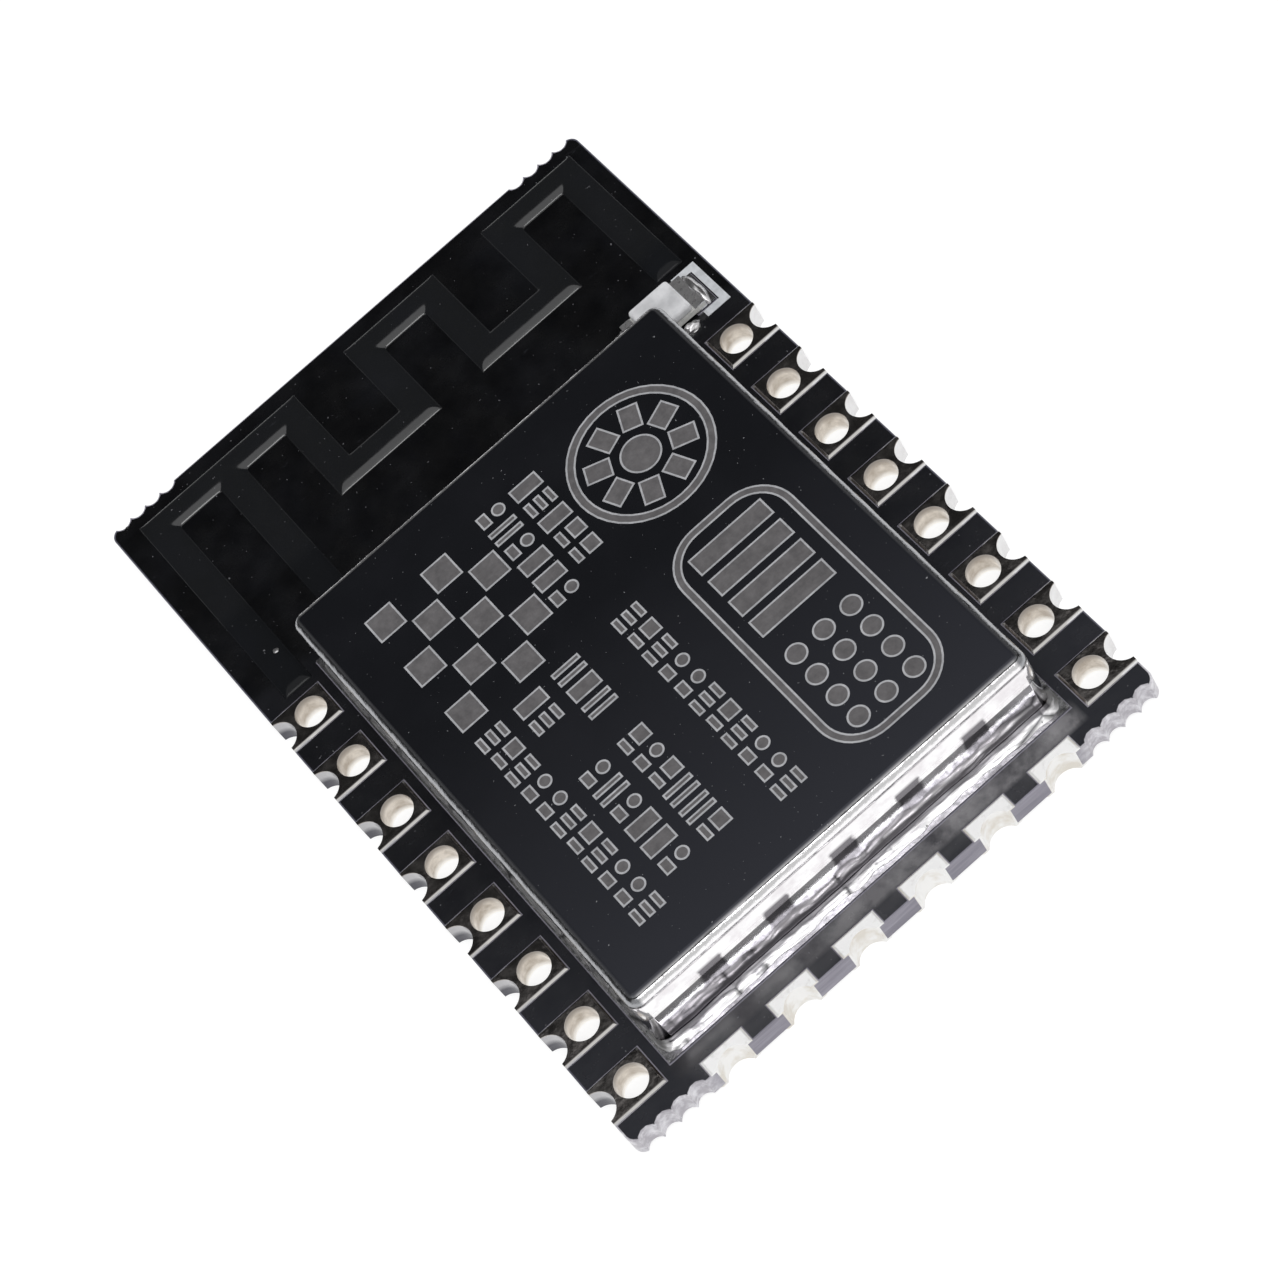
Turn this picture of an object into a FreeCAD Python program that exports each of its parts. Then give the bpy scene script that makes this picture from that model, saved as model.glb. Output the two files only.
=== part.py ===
import FreeCAD, Part
import Sketcher
import os
import re

# Wi-Fi radio module: a small circuit board with plated edge pads, a printed antenna and a shield can.
# Millimetres. The origin is the centre of the underside, +Y runs to the antenna end and +Z is up.

doc = FreeCAD.newDocument("wifi_module")
sheet = doc.addObject("Spreadsheet::Sheet", "sizes")

SIZES = [
    # Board: the thickness is measured over the lands of both faces
    ("board_width", 16.0),
    ("board_length", 24.0),
    ("board_thickness", 0.8),
    ("board_corner", 0.3),
    ("land_thickness", 0.08),
    ("land_bevel", 0.06),
    ("plating", 0.03),
    ("mask_thickness", 0.02),
    ("mask_setback", 0.04),
    ("mask_gap", 0.03),
    # Break-off bites left near the four corners where the board was snapped from its panel
    ("bite_corner_inset", 0.45),
    ("bite_pitch", 0.5),
    ("bite_count", 4),
    ("bite_radius", 0.27),
    ("bite_offset", 0.12),
    # Pads of the two long sides, spread evenly between the pad end and the antenna's clear strip
    ("side_pad_count", 8),
    ("side_pad_inset", 1.29),
    ("side_row_clearance", 0.34),
    ("side_pad_width", 1.2),
    ("side_land_ring", 0.16),
    ("hole_radius", 0.44),
    ("hole_wall", 0.12),
    ("side_notch_radius", 0.46),
    ("side_notch_offset", 0.07),
    # Pads of the short end, spread evenly between the bites
    ("end_pad_count", 6),
    ("end_row_inset", 3.0),
    ("end_pad_depth", 0.45),
    ("end_pad_width", 1.24),
    ("end_notch_radius", 0.47),
    ("end_notch_offset", 0.23),
    # Printed antenna, a raised copper track under the solder mask
    ("trace_width", 0.72),
    ("trace_height", 0.06),
    ("trace_bevel", 0.06),
    ("antenna_strip", 7.77),
    ("antenna_end_inset", 0.93),
    ("antenna_side_inset", 1.11),
    ("antenna_far_inset", 0.87),
    ("top_turn", 2.24),
    ("meander_depth", 2.74),
    ("ground_leg_gap", 0.31),
    ("feed_gap", 0.2),
    ("tail_gap", 0.55),
    # Shield can of thin sheet, soldered to a land that runs all round it
    ("shield_inset", 1.38),
    ("shield_pad_gap", 0.31),
    ("shield_height", 2.2),
    ("sheet_thickness", 0.2),
    ("shield_bend", 0.28),
    ("shield_corner", 0.32),
    ("shield_land_front", 0.42),
    ("shield_land_side", 0.14),
    ("shield_land_inside", 0.25),
    ("solder_front", 0.38),
    ("solder_side", 0.11),
    ("solder_height", 0.2),
    ("solder_lip", 0.02),
    # Status lamp beside the can, and the printed bracket round its outer end
    ("lamp_edge_inset", 1.83),
    ("lamp_shield_gap", 0.47),
    ("lamp_length", 2.0),
    ("lamp_width", 1.15),
    ("lamp_height", 0.5),
    ("lamp_base_thickness", 0.16),
    ("lamp_lens_length", 1.3),
    ("lamp_lens_bevel", 0.05),
    ("lamp_terminal_length", 0.32),
    ("lamp_terminal_thickness", 0.03),
    ("lamp_land_length", 0.6),
    ("lamp_land_overhang", 0.28),
    ("lamp_solder_height", 0.12),
    ("bracket_line", 0.22),
    ("bracket_edge_inset", 0.27),
    ("bracket_width", 1.66),
    ("bracket_hook", 0.75),
    ("ink_thickness", 0.015),
    # Radio chip under the can
    ("chip_size", 5.0),
    ("chip_height", 0.85),
    ("chip_wall_gap", 0.7),
    ("chip_from_back", 5.15),
    ("chip_pin_pitch", 0.5),
    ("chip_pins_per_side", 8),
    ("chip_pin_width", 0.25),
    ("chip_pin_length", 0.55),
    ("chip_paddle", 3.4),
    ("chip_mark_radius", 0.3),
    ("chip_mark_inset", 0.8),
    ("chip_mark_depth", 0.05),
    ("chip_land_overhang", 0.15),
    # Memory chip with bent leads
    ("flash_length", 4.9),
    ("flash_width", 3.9),
    ("flash_height", 1.35),
    ("flash_wall_gap", 0.9),
    ("flash_chip_gap", 0.35),
    ("flash_standoff", 0.1),
    ("flash_draft", 0.1),
    ("lead_pitch", 1.27),
    ("leads_per_side", 4),
    ("lead_width", 0.41),
    ("lead_thickness", 0.2),
    ("lead_foot", 0.6),
    ("lead_reach", 1.0),
    # Clock crystal in a ceramic tub with a metal lid
    ("crystal_length", 2.5),
    ("crystal_width", 2.0),
    ("crystal_tub_height", 0.5),
    ("crystal_lid_height", 0.2),
    ("crystal_lid_margin", 0.2),
    ("crystal_corner", 0.3),
    ("crystal_land", 0.8),
    ("crystal_wall_gap", 0.7),
    ("crystal_from_back", 6.2),
    # Capacitors, resistors and inductors of one common small size
    ("small_length", 1.0),
    ("small_width", 0.5),
    ("small_end", 0.22),
    ("small_pitch", 1.15),
    ("small_wall_gap", 0.6),
    ("resistor_count", 3),
    ("inductor_count", 2),
    ("capacitor_row", 1.5),
    ("resistor_row", 3.6),
    ("inductor_row", 6.0),
    ("capacitor_height", 0.5),
    ("resistor_height", 0.35),
    ("inductor_height", 0.55),
    ("small_land_length", 0.45),
    ("opening_margin", 0.1),
]

for row, (alias, number) in enumerate(SIZES, start=1):
    sheet.set(f"A{row}", alias.replace("_", " "))
    sheet.set(f"B{row}", str(number))
    sheet.setAlias(f"B{row}", alias)
doc.recompute()

NAMES = {alias for alias, number in SIZES}


def ex(text):
    """An expression in plain aliases, with each alias pointed at the size sheet."""
    return re.sub("[a-z_]+", lambda m: "sizes." + m.group() if m.group() in NAMES else m.group(), str(text))


def val(text):
    """The present value of an expression in plain aliases."""
    return float(sheet.evalExpression(ex(text)))


# Levels, from the underside up
CORE_BOTTOM = "land_thickness"
CORE_TOP = "(board_thickness - land_thickness)"
MASK_TOP = "(board_thickness - land_thickness + mask_thickness)"
LAND_TOP = "board_thickness"

# Edge pads: how far a side pad reaches in, where each row starts and how far apart its pads are
HOLE_INSET = "(side_notch_radius - side_notch_offset + hole_wall + hole_radius)"
SIDE_DEPTH = f"({HOLE_INSET} + hole_radius + side_land_ring)"
ROW_Y = "(-board_length / 2 + side_pad_inset)"
ROW_END = "(board_length / 2 - antenna_strip - side_row_clearance)"
SIDE_PITCH = f"(({ROW_END} - side_pad_width / 2 - {ROW_Y}) / (side_pad_count - 1))"
END_X = "(-board_width / 2 + end_row_inset)"
END_PITCH = "((board_width - 2 * end_row_inset) / (end_pad_count - 1))"

# Outer faces of the shield can
SHIELD_SIDE = f"(board_width / 2 - {SIDE_DEPTH} - shield_pad_gap - shield_land_side)"
SHIELD_FRONT = "(-board_length / 2 + shield_inset)"
SHIELD_BACK = "(board_length / 2 - antenna_strip)"

# Centres of the lamp and of the parts under the can
LAMP_X = "(board_width / 2 - lamp_edge_inset)"
LAMP_Y = f"({SHIELD_BACK} + lamp_shield_gap + lamp_width / 2)"
CHIP_X = f"({SHIELD_SIDE} - chip_wall_gap - chip_size / 2)"
CHIP_Y = f"({SHIELD_BACK} - chip_from_back)"
LEAD_Y = "(flash_width / 2 + lead_reach)"
FLASH_X = f"({SHIELD_SIDE} - flash_wall_gap - flash_length / 2)"
FLASH_Y = f"({CHIP_Y} - chip_size / 2 - chip_land_overhang - flash_chip_gap - {LEAD_Y})"
CRYSTAL_X = f"(-{SHIELD_SIDE} + crystal_wall_gap + crystal_length / 2)"
CRYSTAL_Y = f"({SHIELD_BACK} - crystal_from_back)"
SMALL_X = f"(-{SHIELD_SIDE} + small_wall_gap + small_width / 2)"

# Middle lines of the antenna's outer and inner bars, and of its first leg
BAR_TOP = "(board_length / 2 - antenna_end_inset)"
BAR_LOW = f"({BAR_TOP} - meander_depth)"
GROUND_LEG_X = "(-board_width / 2 + antenna_side_inset)"
BOTTOM_TURN = "((board_width - antenna_side_inset - antenna_far_inset - 4 * top_turn) / 2)"

NEAR = 1e-5
OVERRUN = 1.0
WALL_SIDES = 8
BITE_SIDES = 12


# Helpers for bodies, sketches and solids

def new_body(label):
    body = doc.addObject("PartDesign::Body", label)
    body.Label = label
    return body


def new_sketch(body, name, height):
    """A sketch parallel to the body's XY plane, raised to the given height."""
    sketch = body.newObject("Sketcher::SketchObject", name)
    plane = next(f for f in body.Origin.OriginFeatures if f.Role == "XY_Plane")
    sketch.AttachmentSupport = [(plane, "")]
    sketch.MapMode = "FlatFace"
    sketch.setExpression("AttachmentOffset.Base.z", ex(height))
    return sketch


def hold(sketch, kind, point, text):
    """Dimension a point from the sketch's origin, with the value bound to the size sheet."""
    geo, pos = point
    index = sketch.addConstraint(Sketcher.Constraint(kind, -1, 1, geo, pos, val(text)))
    sketch.setExpression(f"Constraints[{index}]", ex(text))


def add_rectangle(sketch, left, right, bottom, top):
    """A closed rectangle whose four sides are dimensioned from the origin."""
    x0, x1, y0, y1 = val(left), val(right), val(bottom), val(top)
    corners = [(x0, y0), (x1, y0), (x1, y1), (x0, y1)]
    first = sketch.GeometryCount
    for k in range(4):
        start = FreeCAD.Vector(*corners[k], 0)
        end = FreeCAD.Vector(*corners[(k + 1) % 4], 0)
        sketch.addGeometry(Part.LineSegment(start, end), False)
    for k in range(4):
        sketch.addConstraint(Sketcher.Constraint("Coincident", first + k, 2, first + (k + 1) % 4, 1))
        sketch.addConstraint(Sketcher.Constraint("Vertical" if k % 2 else "Horizontal", first + k))
    hold(sketch, "DistanceX", (first, 1), left)
    hold(sketch, "DistanceY", (first, 1), bottom)
    hold(sketch, "DistanceX", (first + 1, 2), right)
    hold(sketch, "DistanceY", (first + 1, 2), top)


def add_circle(sketch, x, y, radius):
    centre = FreeCAD.Vector(val(x), val(y), 0)
    geo = sketch.addGeometry(Part.Circle(centre, FreeCAD.Vector(0, 0, 1), val(radius)), False)
    index = sketch.addConstraint(Sketcher.Constraint("Radius", geo, val(radius)))
    sketch.setExpression(f"Constraints[{index}]", ex(radius))
    hold(sketch, "DistanceX", (geo, 3), x)
    hold(sketch, "DistanceY", (geo, 3), y)


def add_polygon(sketch, x, y, inradius, sides):
    """A regular outline round a circle, with one side facing +X."""
    turn = 360 / sides
    radius = f"({inradius}) / cos({turn / 2} deg)"
    centre = FreeCAD.Vector(val(x), val(y), 0)
    guide = sketch.addGeometry(Part.Circle(centre, FreeCAD.Vector(0, 0, 1), val(radius)), True)
    index = sketch.addConstraint(Sketcher.Constraint("Radius", guide, val(radius)))
    sketch.setExpression(f"Constraints[{index}]", ex(radius))
    hold(sketch, "DistanceX", (guide, 3), x)
    hold(sketch, "DistanceY", (guide, 3), y)
    spoke = FreeCAD.Vector(val(radius), 0, 0)
    corners = [centre + FreeCAD.Rotation(turn * (k - 0.5), 0, 0).multVec(spoke) for k in range(sides)]
    first = sketch.GeometryCount
    for k in range(sides):
        sketch.addGeometry(Part.LineSegment(corners[k], corners[(k + 1) % sides]), False)
    for k in range(sides):
        after = first + (k + 1) % sides
        sketch.addConstraint(Sketcher.Constraint("Coincident", first + k, 2, after, 1))
        sketch.addConstraint(Sketcher.Constraint("PointOnObject", first + k, 1, guide))
        if k:
            sketch.addConstraint(Sketcher.Constraint("Equal", first, first + k))
    sketch.addConstraint(Sketcher.Constraint("Vertical", first))


def add_hidden_wall(sketch, x, y, inradius):
    """The wall between laminate and plating. Its sides meet those of a pad turned by a quarter."""
    add_polygon(sketch, x, y, inradius, WALL_SIDES)


def add_mask_bite(sketch, x, y, inradius):
    add_polygon(sketch, x, y, inradius, BITE_SIDES)


def add_pad(body, sketch, length):
    feature = body.newObject("PartDesign::Pad", sketch.Name + "_pad")
    feature.Profile = sketch
    feature.setExpression("Length", ex(length))
    sketch.Visibility = False
    return feature


def add_pocket(body, sketch, depth=None):
    """Cut downwards from the sketch, to a depth or right through."""
    feature = body.newObject("PartDesign::Pocket", sketch.Name + "_cut")
    feature.Profile = sketch
    if depth is None:
        feature.Type = "ThroughAll"
    else:
        feature.setExpression("Length", ex(depth))
    sketch.Visibility = False
    return feature


def add_row(body, feature, role, count, pitch):
    """Repeat a cut along one of the body's own axes."""
    row = body.newObject("PartDesign::LinearPattern", feature.Name + "_row")
    axis = next(f for f in body.Origin.OriginFeatures if f.Role == role)
    row.Originals = [feature]
    row.Direction = (axis, [""])
    row.setExpression("Length", ex(f"({count} - 1) * {pitch}"))
    row.setExpression("Occurrences", ex(count))
    body.Tip = row
    return row


def add_edge_feature(body, kind, base, choose, size):
    """A fillet or chamfer on the edges of the last feature that the test picks out."""
    doc.recompute()
    names = [f"Edge{i}" for i, edge in enumerate(base.Shape.Edges, start=1) if choose(edge)]
    feature = body.newObject(f"PartDesign::{kind}", f"{base.Name}_{kind.lower()}")
    feature.Base = (base, names)
    feature.setExpression("Radius" if kind == "Fillet" else "Size", ex(size))
    return feature


def is_upright(edge):
    ends = [v.Point for v in edge.Vertexes]
    return len(ends) == 2 and (ends[0] - ends[1]).cross(FreeCAD.Vector(0, 0, 1)).Length < NEAR


def lies_at(edge, height):
    box = edge.BoundBox
    return abs(box.ZMin - height) < NEAR and abs(box.ZMax - height) < NEAR


def place(thing, x, y, z, turn=0.0):
    """Bind an object's place to the size sheet, after turning it about the upright axis."""
    thing.Placement = FreeCAD.Placement(FreeCAD.Vector(0, 0, 0), FreeCAD.Rotation(turn, 0, 0))
    for axis, text in zip("xyz", (x, y, z)):
        thing.setExpression(f"Placement.Base.{axis}", ex(text))


def add_box(name, x, y, z, length, width, height):
    """A box centred on x and y that stands on the level z."""
    box = doc.addObject("Part::Box", name)
    box.setExpression("Length", ex(length))
    box.setExpression("Width", ex(width))
    box.setExpression("Height", ex(height))
    place(box, f"{x} - ({length}) / 2", f"{y} - ({width}) / 2", z)
    return box


def group(label, members):
    """Like pieces that stay separate solids under one name."""
    compound = doc.addObject("Part::Compound", label)
    compound.Label = label
    compound.Links = members
    return compound


def fuse(label, members):
    fused = doc.addObject("Part::MultiFuse", label)
    fused.Label = label
    fused.Shapes = members
    fused.Refine = True
    return fused


def cut(label, base, tool):
    result = doc.addObject("Part::Cut", label)
    result.Label = label
    result.Base = base
    result.Tool = tool
    result.Refine = True
    return result


# Board core and mask layers

def board_layer(label, bottom, thickness, setback, add_bite):
    """One layer of the board: the routed outline with its rounded corners and break-off bites."""
    body = new_body(label)
    outline = new_sketch(body, label + "_outline", bottom)
    add_rectangle(outline, f"-board_width / 2 + {setback}", f"board_width / 2 - {setback}",
                  f"-board_length / 2 + {setback}", f"board_length / 2 - {setback}")
    slab = add_pad(body, outline, thickness)
    add_edge_feature(body, "Fillet", slab, is_upright, "board_corner")
    bites = new_sketch(body, label + "_bites", f"{bottom} + {thickness}")
    for y in ("board_length / 2 + bite_offset", "-board_length / 2 - bite_offset"):
        for x in ("-board_width / 2 + bite_corner_inset",
                  "board_width / 2 - bite_corner_inset - (bite_count - 1) * bite_pitch"):
            add_bite(bites, x, y, f"bite_radius + {setback}")
    add_row(body, add_pocket(body, bites), "X_Axis", "bite_count", "bite_pitch")
    return body


def core_layer():
    """The laminate, bored at every pad a plating's thickness larger than the hole or notch finishes."""
    body = board_layer("laminate", CORE_BOTTOM, f"({CORE_TOP} - {CORE_BOTTOM})", "0", add_circle)
    sides = new_sketch(body, "side_bores", CORE_TOP)
    for sign in (1, -1):
        add_hidden_wall(sides, f"({sign}) * (board_width / 2 + side_notch_offset)", ROW_Y,
                        "side_notch_radius + plating")
        add_hidden_wall(sides, f"({sign}) * (board_width / 2 - {HOLE_INSET})", ROW_Y,
                        "hole_radius + plating")
    add_row(body, add_pocket(body, sides), "Y_Axis", "side_pad_count", SIDE_PITCH)
    ends = new_sketch(body, "end_bores", CORE_TOP)
    add_hidden_wall(ends, END_X, "-board_length / 2 - end_notch_offset", "end_notch_radius + plating")
    add_row(body, add_pocket(body, ends), "X_Axis", "end_pad_count", END_PITCH)
    return body


def mask_layer(label, bottom):
    """Solder mask over one face, open over every edge pad."""
    body = board_layer(label, bottom, "mask_thickness", "mask_setback", add_mask_bite)
    sides = new_sketch(body, label + "_side_windows", f"{bottom} + mask_thickness")
    low = f"{ROW_Y} - side_pad_width / 2 - mask_gap"
    high = f"{ROW_Y} + side_pad_width / 2 + mask_gap"
    inner = f"(board_width / 2 - {SIDE_DEPTH} - mask_gap)"
    add_rectangle(sides, inner, f"board_width / 2 + {OVERRUN}", low, high)
    add_rectangle(sides, f"-board_width / 2 - {OVERRUN}", f"-({inner})", low, high)
    add_row(body, add_pocket(body, sides), "Y_Axis", "side_pad_count", SIDE_PITCH)
    ends = new_sketch(body, label + "_end_windows", f"{bottom} + mask_thickness")
    add_rectangle(ends, f"{END_X} - end_pad_width / 2 - mask_gap", f"{END_X} + end_pad_width / 2 + mask_gap",
                  f"-board_length / 2 - {OVERRUN}", "-board_length / 2 + end_pad_depth + mask_gap")
    add_row(body, add_pocket(body, ends), "X_Axis", "end_pad_count", END_PITCH)
    return body


# Plated pads: a land on each face, joined through the hole and down the notch

def edge_pad(label, depth, width, radius, offset, holed):
    """A pad drawn with the board's edge at x = 0 and the board on the -X side."""
    body = new_body(label)
    face = new_sketch(body, label + "_face", "0")
    add_rectangle(face, f"-{depth}", "0", f"-{width} / 2", f"{width} / 2")
    block = add_pad(body, face, "board_thickness")
    faces = (0.0, val("board_thickness"))
    add_edge_feature(body, "Chamfer", block, lambda e: e.BoundBox.XMin < -NEAR
                     and any(lies_at(e, level) for level in faces), "land_bevel")
    waist = new_sketch(body, label + "_waist", CORE_TOP)
    add_rectangle(waist, f"-{depth} - {OVERRUN}", f"2 * {OVERRUN}", f"-{width}", width)
    add_hidden_wall(waist, offset, "0", f"{radius} + plating")
    bore = new_sketch(body, label + "_bore", LAND_TOP)
    add_circle(bore, offset, "0", radius)
    if holed:
        add_hidden_wall(waist, f"-{HOLE_INSET}", "0", "hole_radius + plating")
        add_circle(bore, f"-{HOLE_INSET}", "0", "hole_radius")
    add_pocket(body, waist, f"{CORE_TOP} - {CORE_BOTTOM}")
    add_pocket(body, bore)
    return body


def edge_pads():
    """Every edge pad, numbered down the left side, then along the short end and up the right side."""
    sides, ends = int(val("side_pad_count")), int(val("end_pad_count"))
    rows = [f"{ROW_Y} + {k} * {SIDE_PITCH}" for k in range(sides)]
    spots = [("-board_width / 2", y, 180) for y in reversed(rows)]
    spots += [(f"{END_X} + {k} * {END_PITCH}", "-board_length / 2", -90) for k in range(ends)]
    spots += [("board_width / 2", y, 0) for y in rows]
    pads = []
    for number, (x, y, turn) in enumerate(spots, start=1):
        kind, depth = ("end", "end_pad_depth") if turn == -90 else ("side", SIDE_DEPTH)
        pad = edge_pad(f"pad_{number:02d}", depth, f"{kind}_pad_width",
                       f"{kind}_notch_radius", f"{kind}_notch_offset", kind == "side")
        place(pad, x, y, "0", turn)
        pads.append(pad)
    return pads


# Antenna track and the ridge of mask that covers it

def add_frustum(name, foot, crown, base, height):
    """A block that tapers from the rectangle foot to the rectangle crown: left, right, bottom, top."""
    wedge = doc.addObject("Part::Wedge", name)
    wedge.Placement = FreeCAD.Placement(FreeCAD.Vector(0, 0, 0), FreeCAD.Rotation(0, 0, 90))
    for (left, right, low, high), mark in ((foot, ""), (crown, "2")):
        wedge.setExpression(f"X{mark}min", ex(left))
        wedge.setExpression(f"X{mark}max", ex(right))
        wedge.setExpression(f"Z{mark}min", ex(f"-({high})"))
        wedge.setExpression(f"Z{mark}max", ex(f"-({low})"))
    wedge.setExpression("Ymin", "0")
    wedge.setExpression("Ymax", ex(height))
    wedge.setExpression("Placement.Base.z", ex(base))
    return wedge


def antenna_runs(name, grow, height, bevel):
    """The straight runs of the track: seven legs joined alternately at their far and near ends."""
    turns = ("top", "top", "bottom", "top", "bottom", "top")
    legs = [GROUND_LEG_X]
    for turn in turns:
        legs.append(f"({legs[-1]} + {'top_turn' if turn == 'top' else BOTTOM_TURN})")
    half = f"(trace_width / 2 + {grow})"
    lows = [f"{BAR_LOW} - {half}"] * len(legs)
    lows[0] = f"{ROW_END} + ground_leg_gap - {grow}"
    lows[1] = f"{SHIELD_BACK} + shield_land_side + feed_gap - {grow}"
    lows[-1] = f"{LAMP_Y} + lamp_width / 2 + tail_gap - {grow}"
    boxes = [(f"{x} - {half}", f"{x} + {half}", low, f"{BAR_TOP} + {half}") for x, low in zip(legs, lows)]
    for k, turn in enumerate(turns):
        level = BAR_TOP if turn == "top" else BAR_LOW
        boxes.append((f"{legs[k]} - {half}", f"{legs[k + 1]} + {half}",
                      f"{level} - {half}", f"{level} + {half}"))
    runs = []
    for k, (left, right, low, high) in enumerate(boxes):
        crown = (f"{left} + {bevel}", f"{right} - {bevel}", f"{low} + {bevel}", f"{high} - {bevel}")
        runs.append(add_frustum(f"{name}_{k}", (left, right, low, high), crown, CORE_TOP, height))
    return runs


def antenna_trace():
    """The antenna's copper."""
    return fuse("antenna_trace", antenna_runs("copper_run", "0", "trace_height", "trace_bevel"))


# Shield can, its land and its solder

def shield_rectangle(sketch, side, front, back):
    """The can's outline, grown by the given amounts."""
    add_rectangle(sketch, f"-{SHIELD_SIDE} - ({side})", f"{SHIELD_SIDE} + {side}",
                  f"{SHIELD_FRONT} - ({front})", f"{SHIELD_BACK} + {back}")


def can_block(body, height):
    """A block with the can's rounded outline, standing on its land."""
    outline = new_sketch(body, body.Name + "_outline", LAND_TOP)
    shield_rectangle(outline, "0", "0", "0")
    return add_edge_feature(body, "Fillet", add_pad(body, outline, height), is_upright, "shield_corner")


def shield_can():
    """Drawn can: walls and lid of one sheet, open below, with rounded corners and bends."""
    body = new_body("shield_can")
    block = can_block(body, "shield_height")
    doc.recompute()
    lid = val(f"{LAND_TOP} + shield_height")
    bends = add_edge_feature(body, "Fillet", block, lambda e: lies_at(e, lid), "shield_bend")
    doc.recompute()
    foot = val(LAND_TOP)
    mouth = next(i for i, face in enumerate(bends.Shape.Faces, start=1) if lies_at(face, foot))
    shell = body.newObject("PartDesign::Thickness", "shield_shell")
    shell.Base = (bends, [f"Face{mouth}"])
    shell.Reversed = True
    shell.setExpression("Value", ex("sheet_thickness"))
    body.Tip = shell
    return body


def shield_land():
    """The tinned land under the can's walls, wider along the front."""
    body = new_body("shield_land")
    ring = new_sketch(body, "shield_land_ring", CORE_TOP)
    shield_rectangle(ring, "shield_land_side", "shield_land_front", "shield_land_side")
    inner = "-sheet_thickness - shield_land_inside"
    shield_rectangle(ring, inner, inner, inner)
    add_pad(body, ring, "land_thickness")
    return body


def shield_solder():
    """The bead round the foot of the can: broad along the front, thin on the other sides."""
    foot = (f"-{SHIELD_SIDE} - solder_side", f"{SHIELD_SIDE} + solder_side",
            f"{SHIELD_FRONT} - solder_front", f"{SHIELD_BACK} + solder_side")
    crest = (f"-{SHIELD_SIDE} - solder_lip", f"{SHIELD_SIDE} + solder_lip",
             f"{SHIELD_FRONT} - solder_lip", f"{SHIELD_BACK} + solder_lip")
    bead = add_frustum("solder_bead", foot, crest, LAND_TOP, "solder_height")
    inside = new_body("solder_inside")
    can_block(inside, "solder_height")
    return cut("shield_solder", bead, inside)


# Status lamp and the printed bracket beside it

LAMP_REACH = "(lamp_length / 2 + lamp_land_overhang - lamp_land_length / 2)"


def lamp_spots(name, base, length, width, height, reach):
    """One box at each end of the lamp, its middle at the given reach from the lamp's centre."""
    return [add_box(f"{name}_{k}", f"{LAMP_X} + ({sign}) * {reach}", LAMP_Y, base, length, width, height)
            for k, sign in enumerate((-1, 1))]


def lamp_lands():
    return group("lamp_lands", lamp_spots("lamp_land", CORE_TOP, "lamp_land_length", "lamp_width",
                                          "land_thickness", LAMP_REACH))


def lamp_board(name):
    """The lamp's own little circuit board, between the wraps of its terminals."""
    return add_box(name, LAMP_X, LAMP_Y, f"{LAND_TOP} + lamp_terminal_thickness",
                   "lamp_length - 2 * lamp_terminal_thickness", "lamp_width", "lamp_base_thickness")


def lamp_terminals():
    """A plated wrap round each end of the lamp's board, open at its two sides."""
    wraps = lamp_spots("lamp_wrap", LAND_TOP, "lamp_terminal_length", "lamp_width",
                       "lamp_base_thickness + 2 * lamp_terminal_thickness",
                       "(lamp_length / 2 - lamp_terminal_length / 2)")
    return cut("lamp_terminals", group("lamp_wraps", wraps), lamp_board("lamp_wrap_core"))


def lamp_lens():
    """The milky resin block over the die, with its upper edges rubbed down."""
    body = new_body("lamp_lens")
    seat = f"({LAND_TOP} + lamp_terminal_thickness + lamp_base_thickness)"
    outline = new_sketch(body, "lens_outline", seat)
    add_rectangle(outline, f"{LAMP_X} - lamp_lens_length / 2", f"{LAMP_X} + lamp_lens_length / 2",
                  f"{LAMP_Y} - lamp_width / 2", f"{LAMP_Y} + lamp_width / 2")
    block = add_pad(body, outline, f"{LAND_TOP} + lamp_height - {seat}")
    top = val(f"{LAND_TOP} + lamp_height")
    add_edge_feature(body, "Chamfer", block, lambda e: lies_at(e, top), "lamp_lens_bevel")
    return body


def lamp_solder():
    """A solder fillet rising from each land against the end of its terminal."""
    low, high = f"{LAMP_Y} - lamp_width / 2", f"{LAMP_Y} + lamp_width / 2"
    fillets = []
    for k, sign in enumerate((-1, 1)):
        face, lip, toe = [f"{LAMP_X} + ({sign}) * (lamp_length / 2 + {reach})"
                          for reach in ("0", "solder_lip", "lamp_land_overhang - solder_lip")]
        foot = (toe, face, low, high) if sign < 0 else (face, toe, low, high)
        crest = (lip, face, low, high) if sign < 0 else (face, lip, low, high)
        fillets.append(add_frustum(f"lamp_fillet_{k}", foot, crest, LAND_TOP, "lamp_solder_height"))
    return group("lamp_solder", fillets)


def ink_bracket():
    """White ink on the mask: a bracket that is open towards the lamp."""
    edge = "(board_width / 2 - bracket_edge_inset)"
    outer = add_box("bracket_outer", f"{edge} - bracket_hook / 2", LAMP_Y, MASK_TOP,
                    "bracket_hook", "bracket_width", "ink_thickness")
    inner = add_box("bracket_inner", f"{edge} - bracket_line - bracket_hook / 2", LAMP_Y, MASK_TOP,
                    "bracket_hook", "bracket_width - 2 * bracket_line", "ink_thickness")
    return cut("ink_bracket", outer, inner)


# Parts sealed under the can

CAP_COUNT = f"(floor((2 * {SHIELD_SIDE} - 2 * small_wall_gap - small_width) / small_pitch) + 1)"


def small_row(count, y):
    return [(f"({SMALL_X} + {k} * small_pitch)", y) for k in range(int(val(count)))]


SMALL_PARTS = {
    "capacitor": small_row(CAP_COUNT, f"({SHIELD_BACK} - capacitor_row)"),
    "resistor": small_row("resistor_count", f"({SHIELD_BACK} - resistor_row)"),
    "inductor": small_row("inductor_count", f"({SHIELD_FRONT} + inductor_row)"),
}


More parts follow.
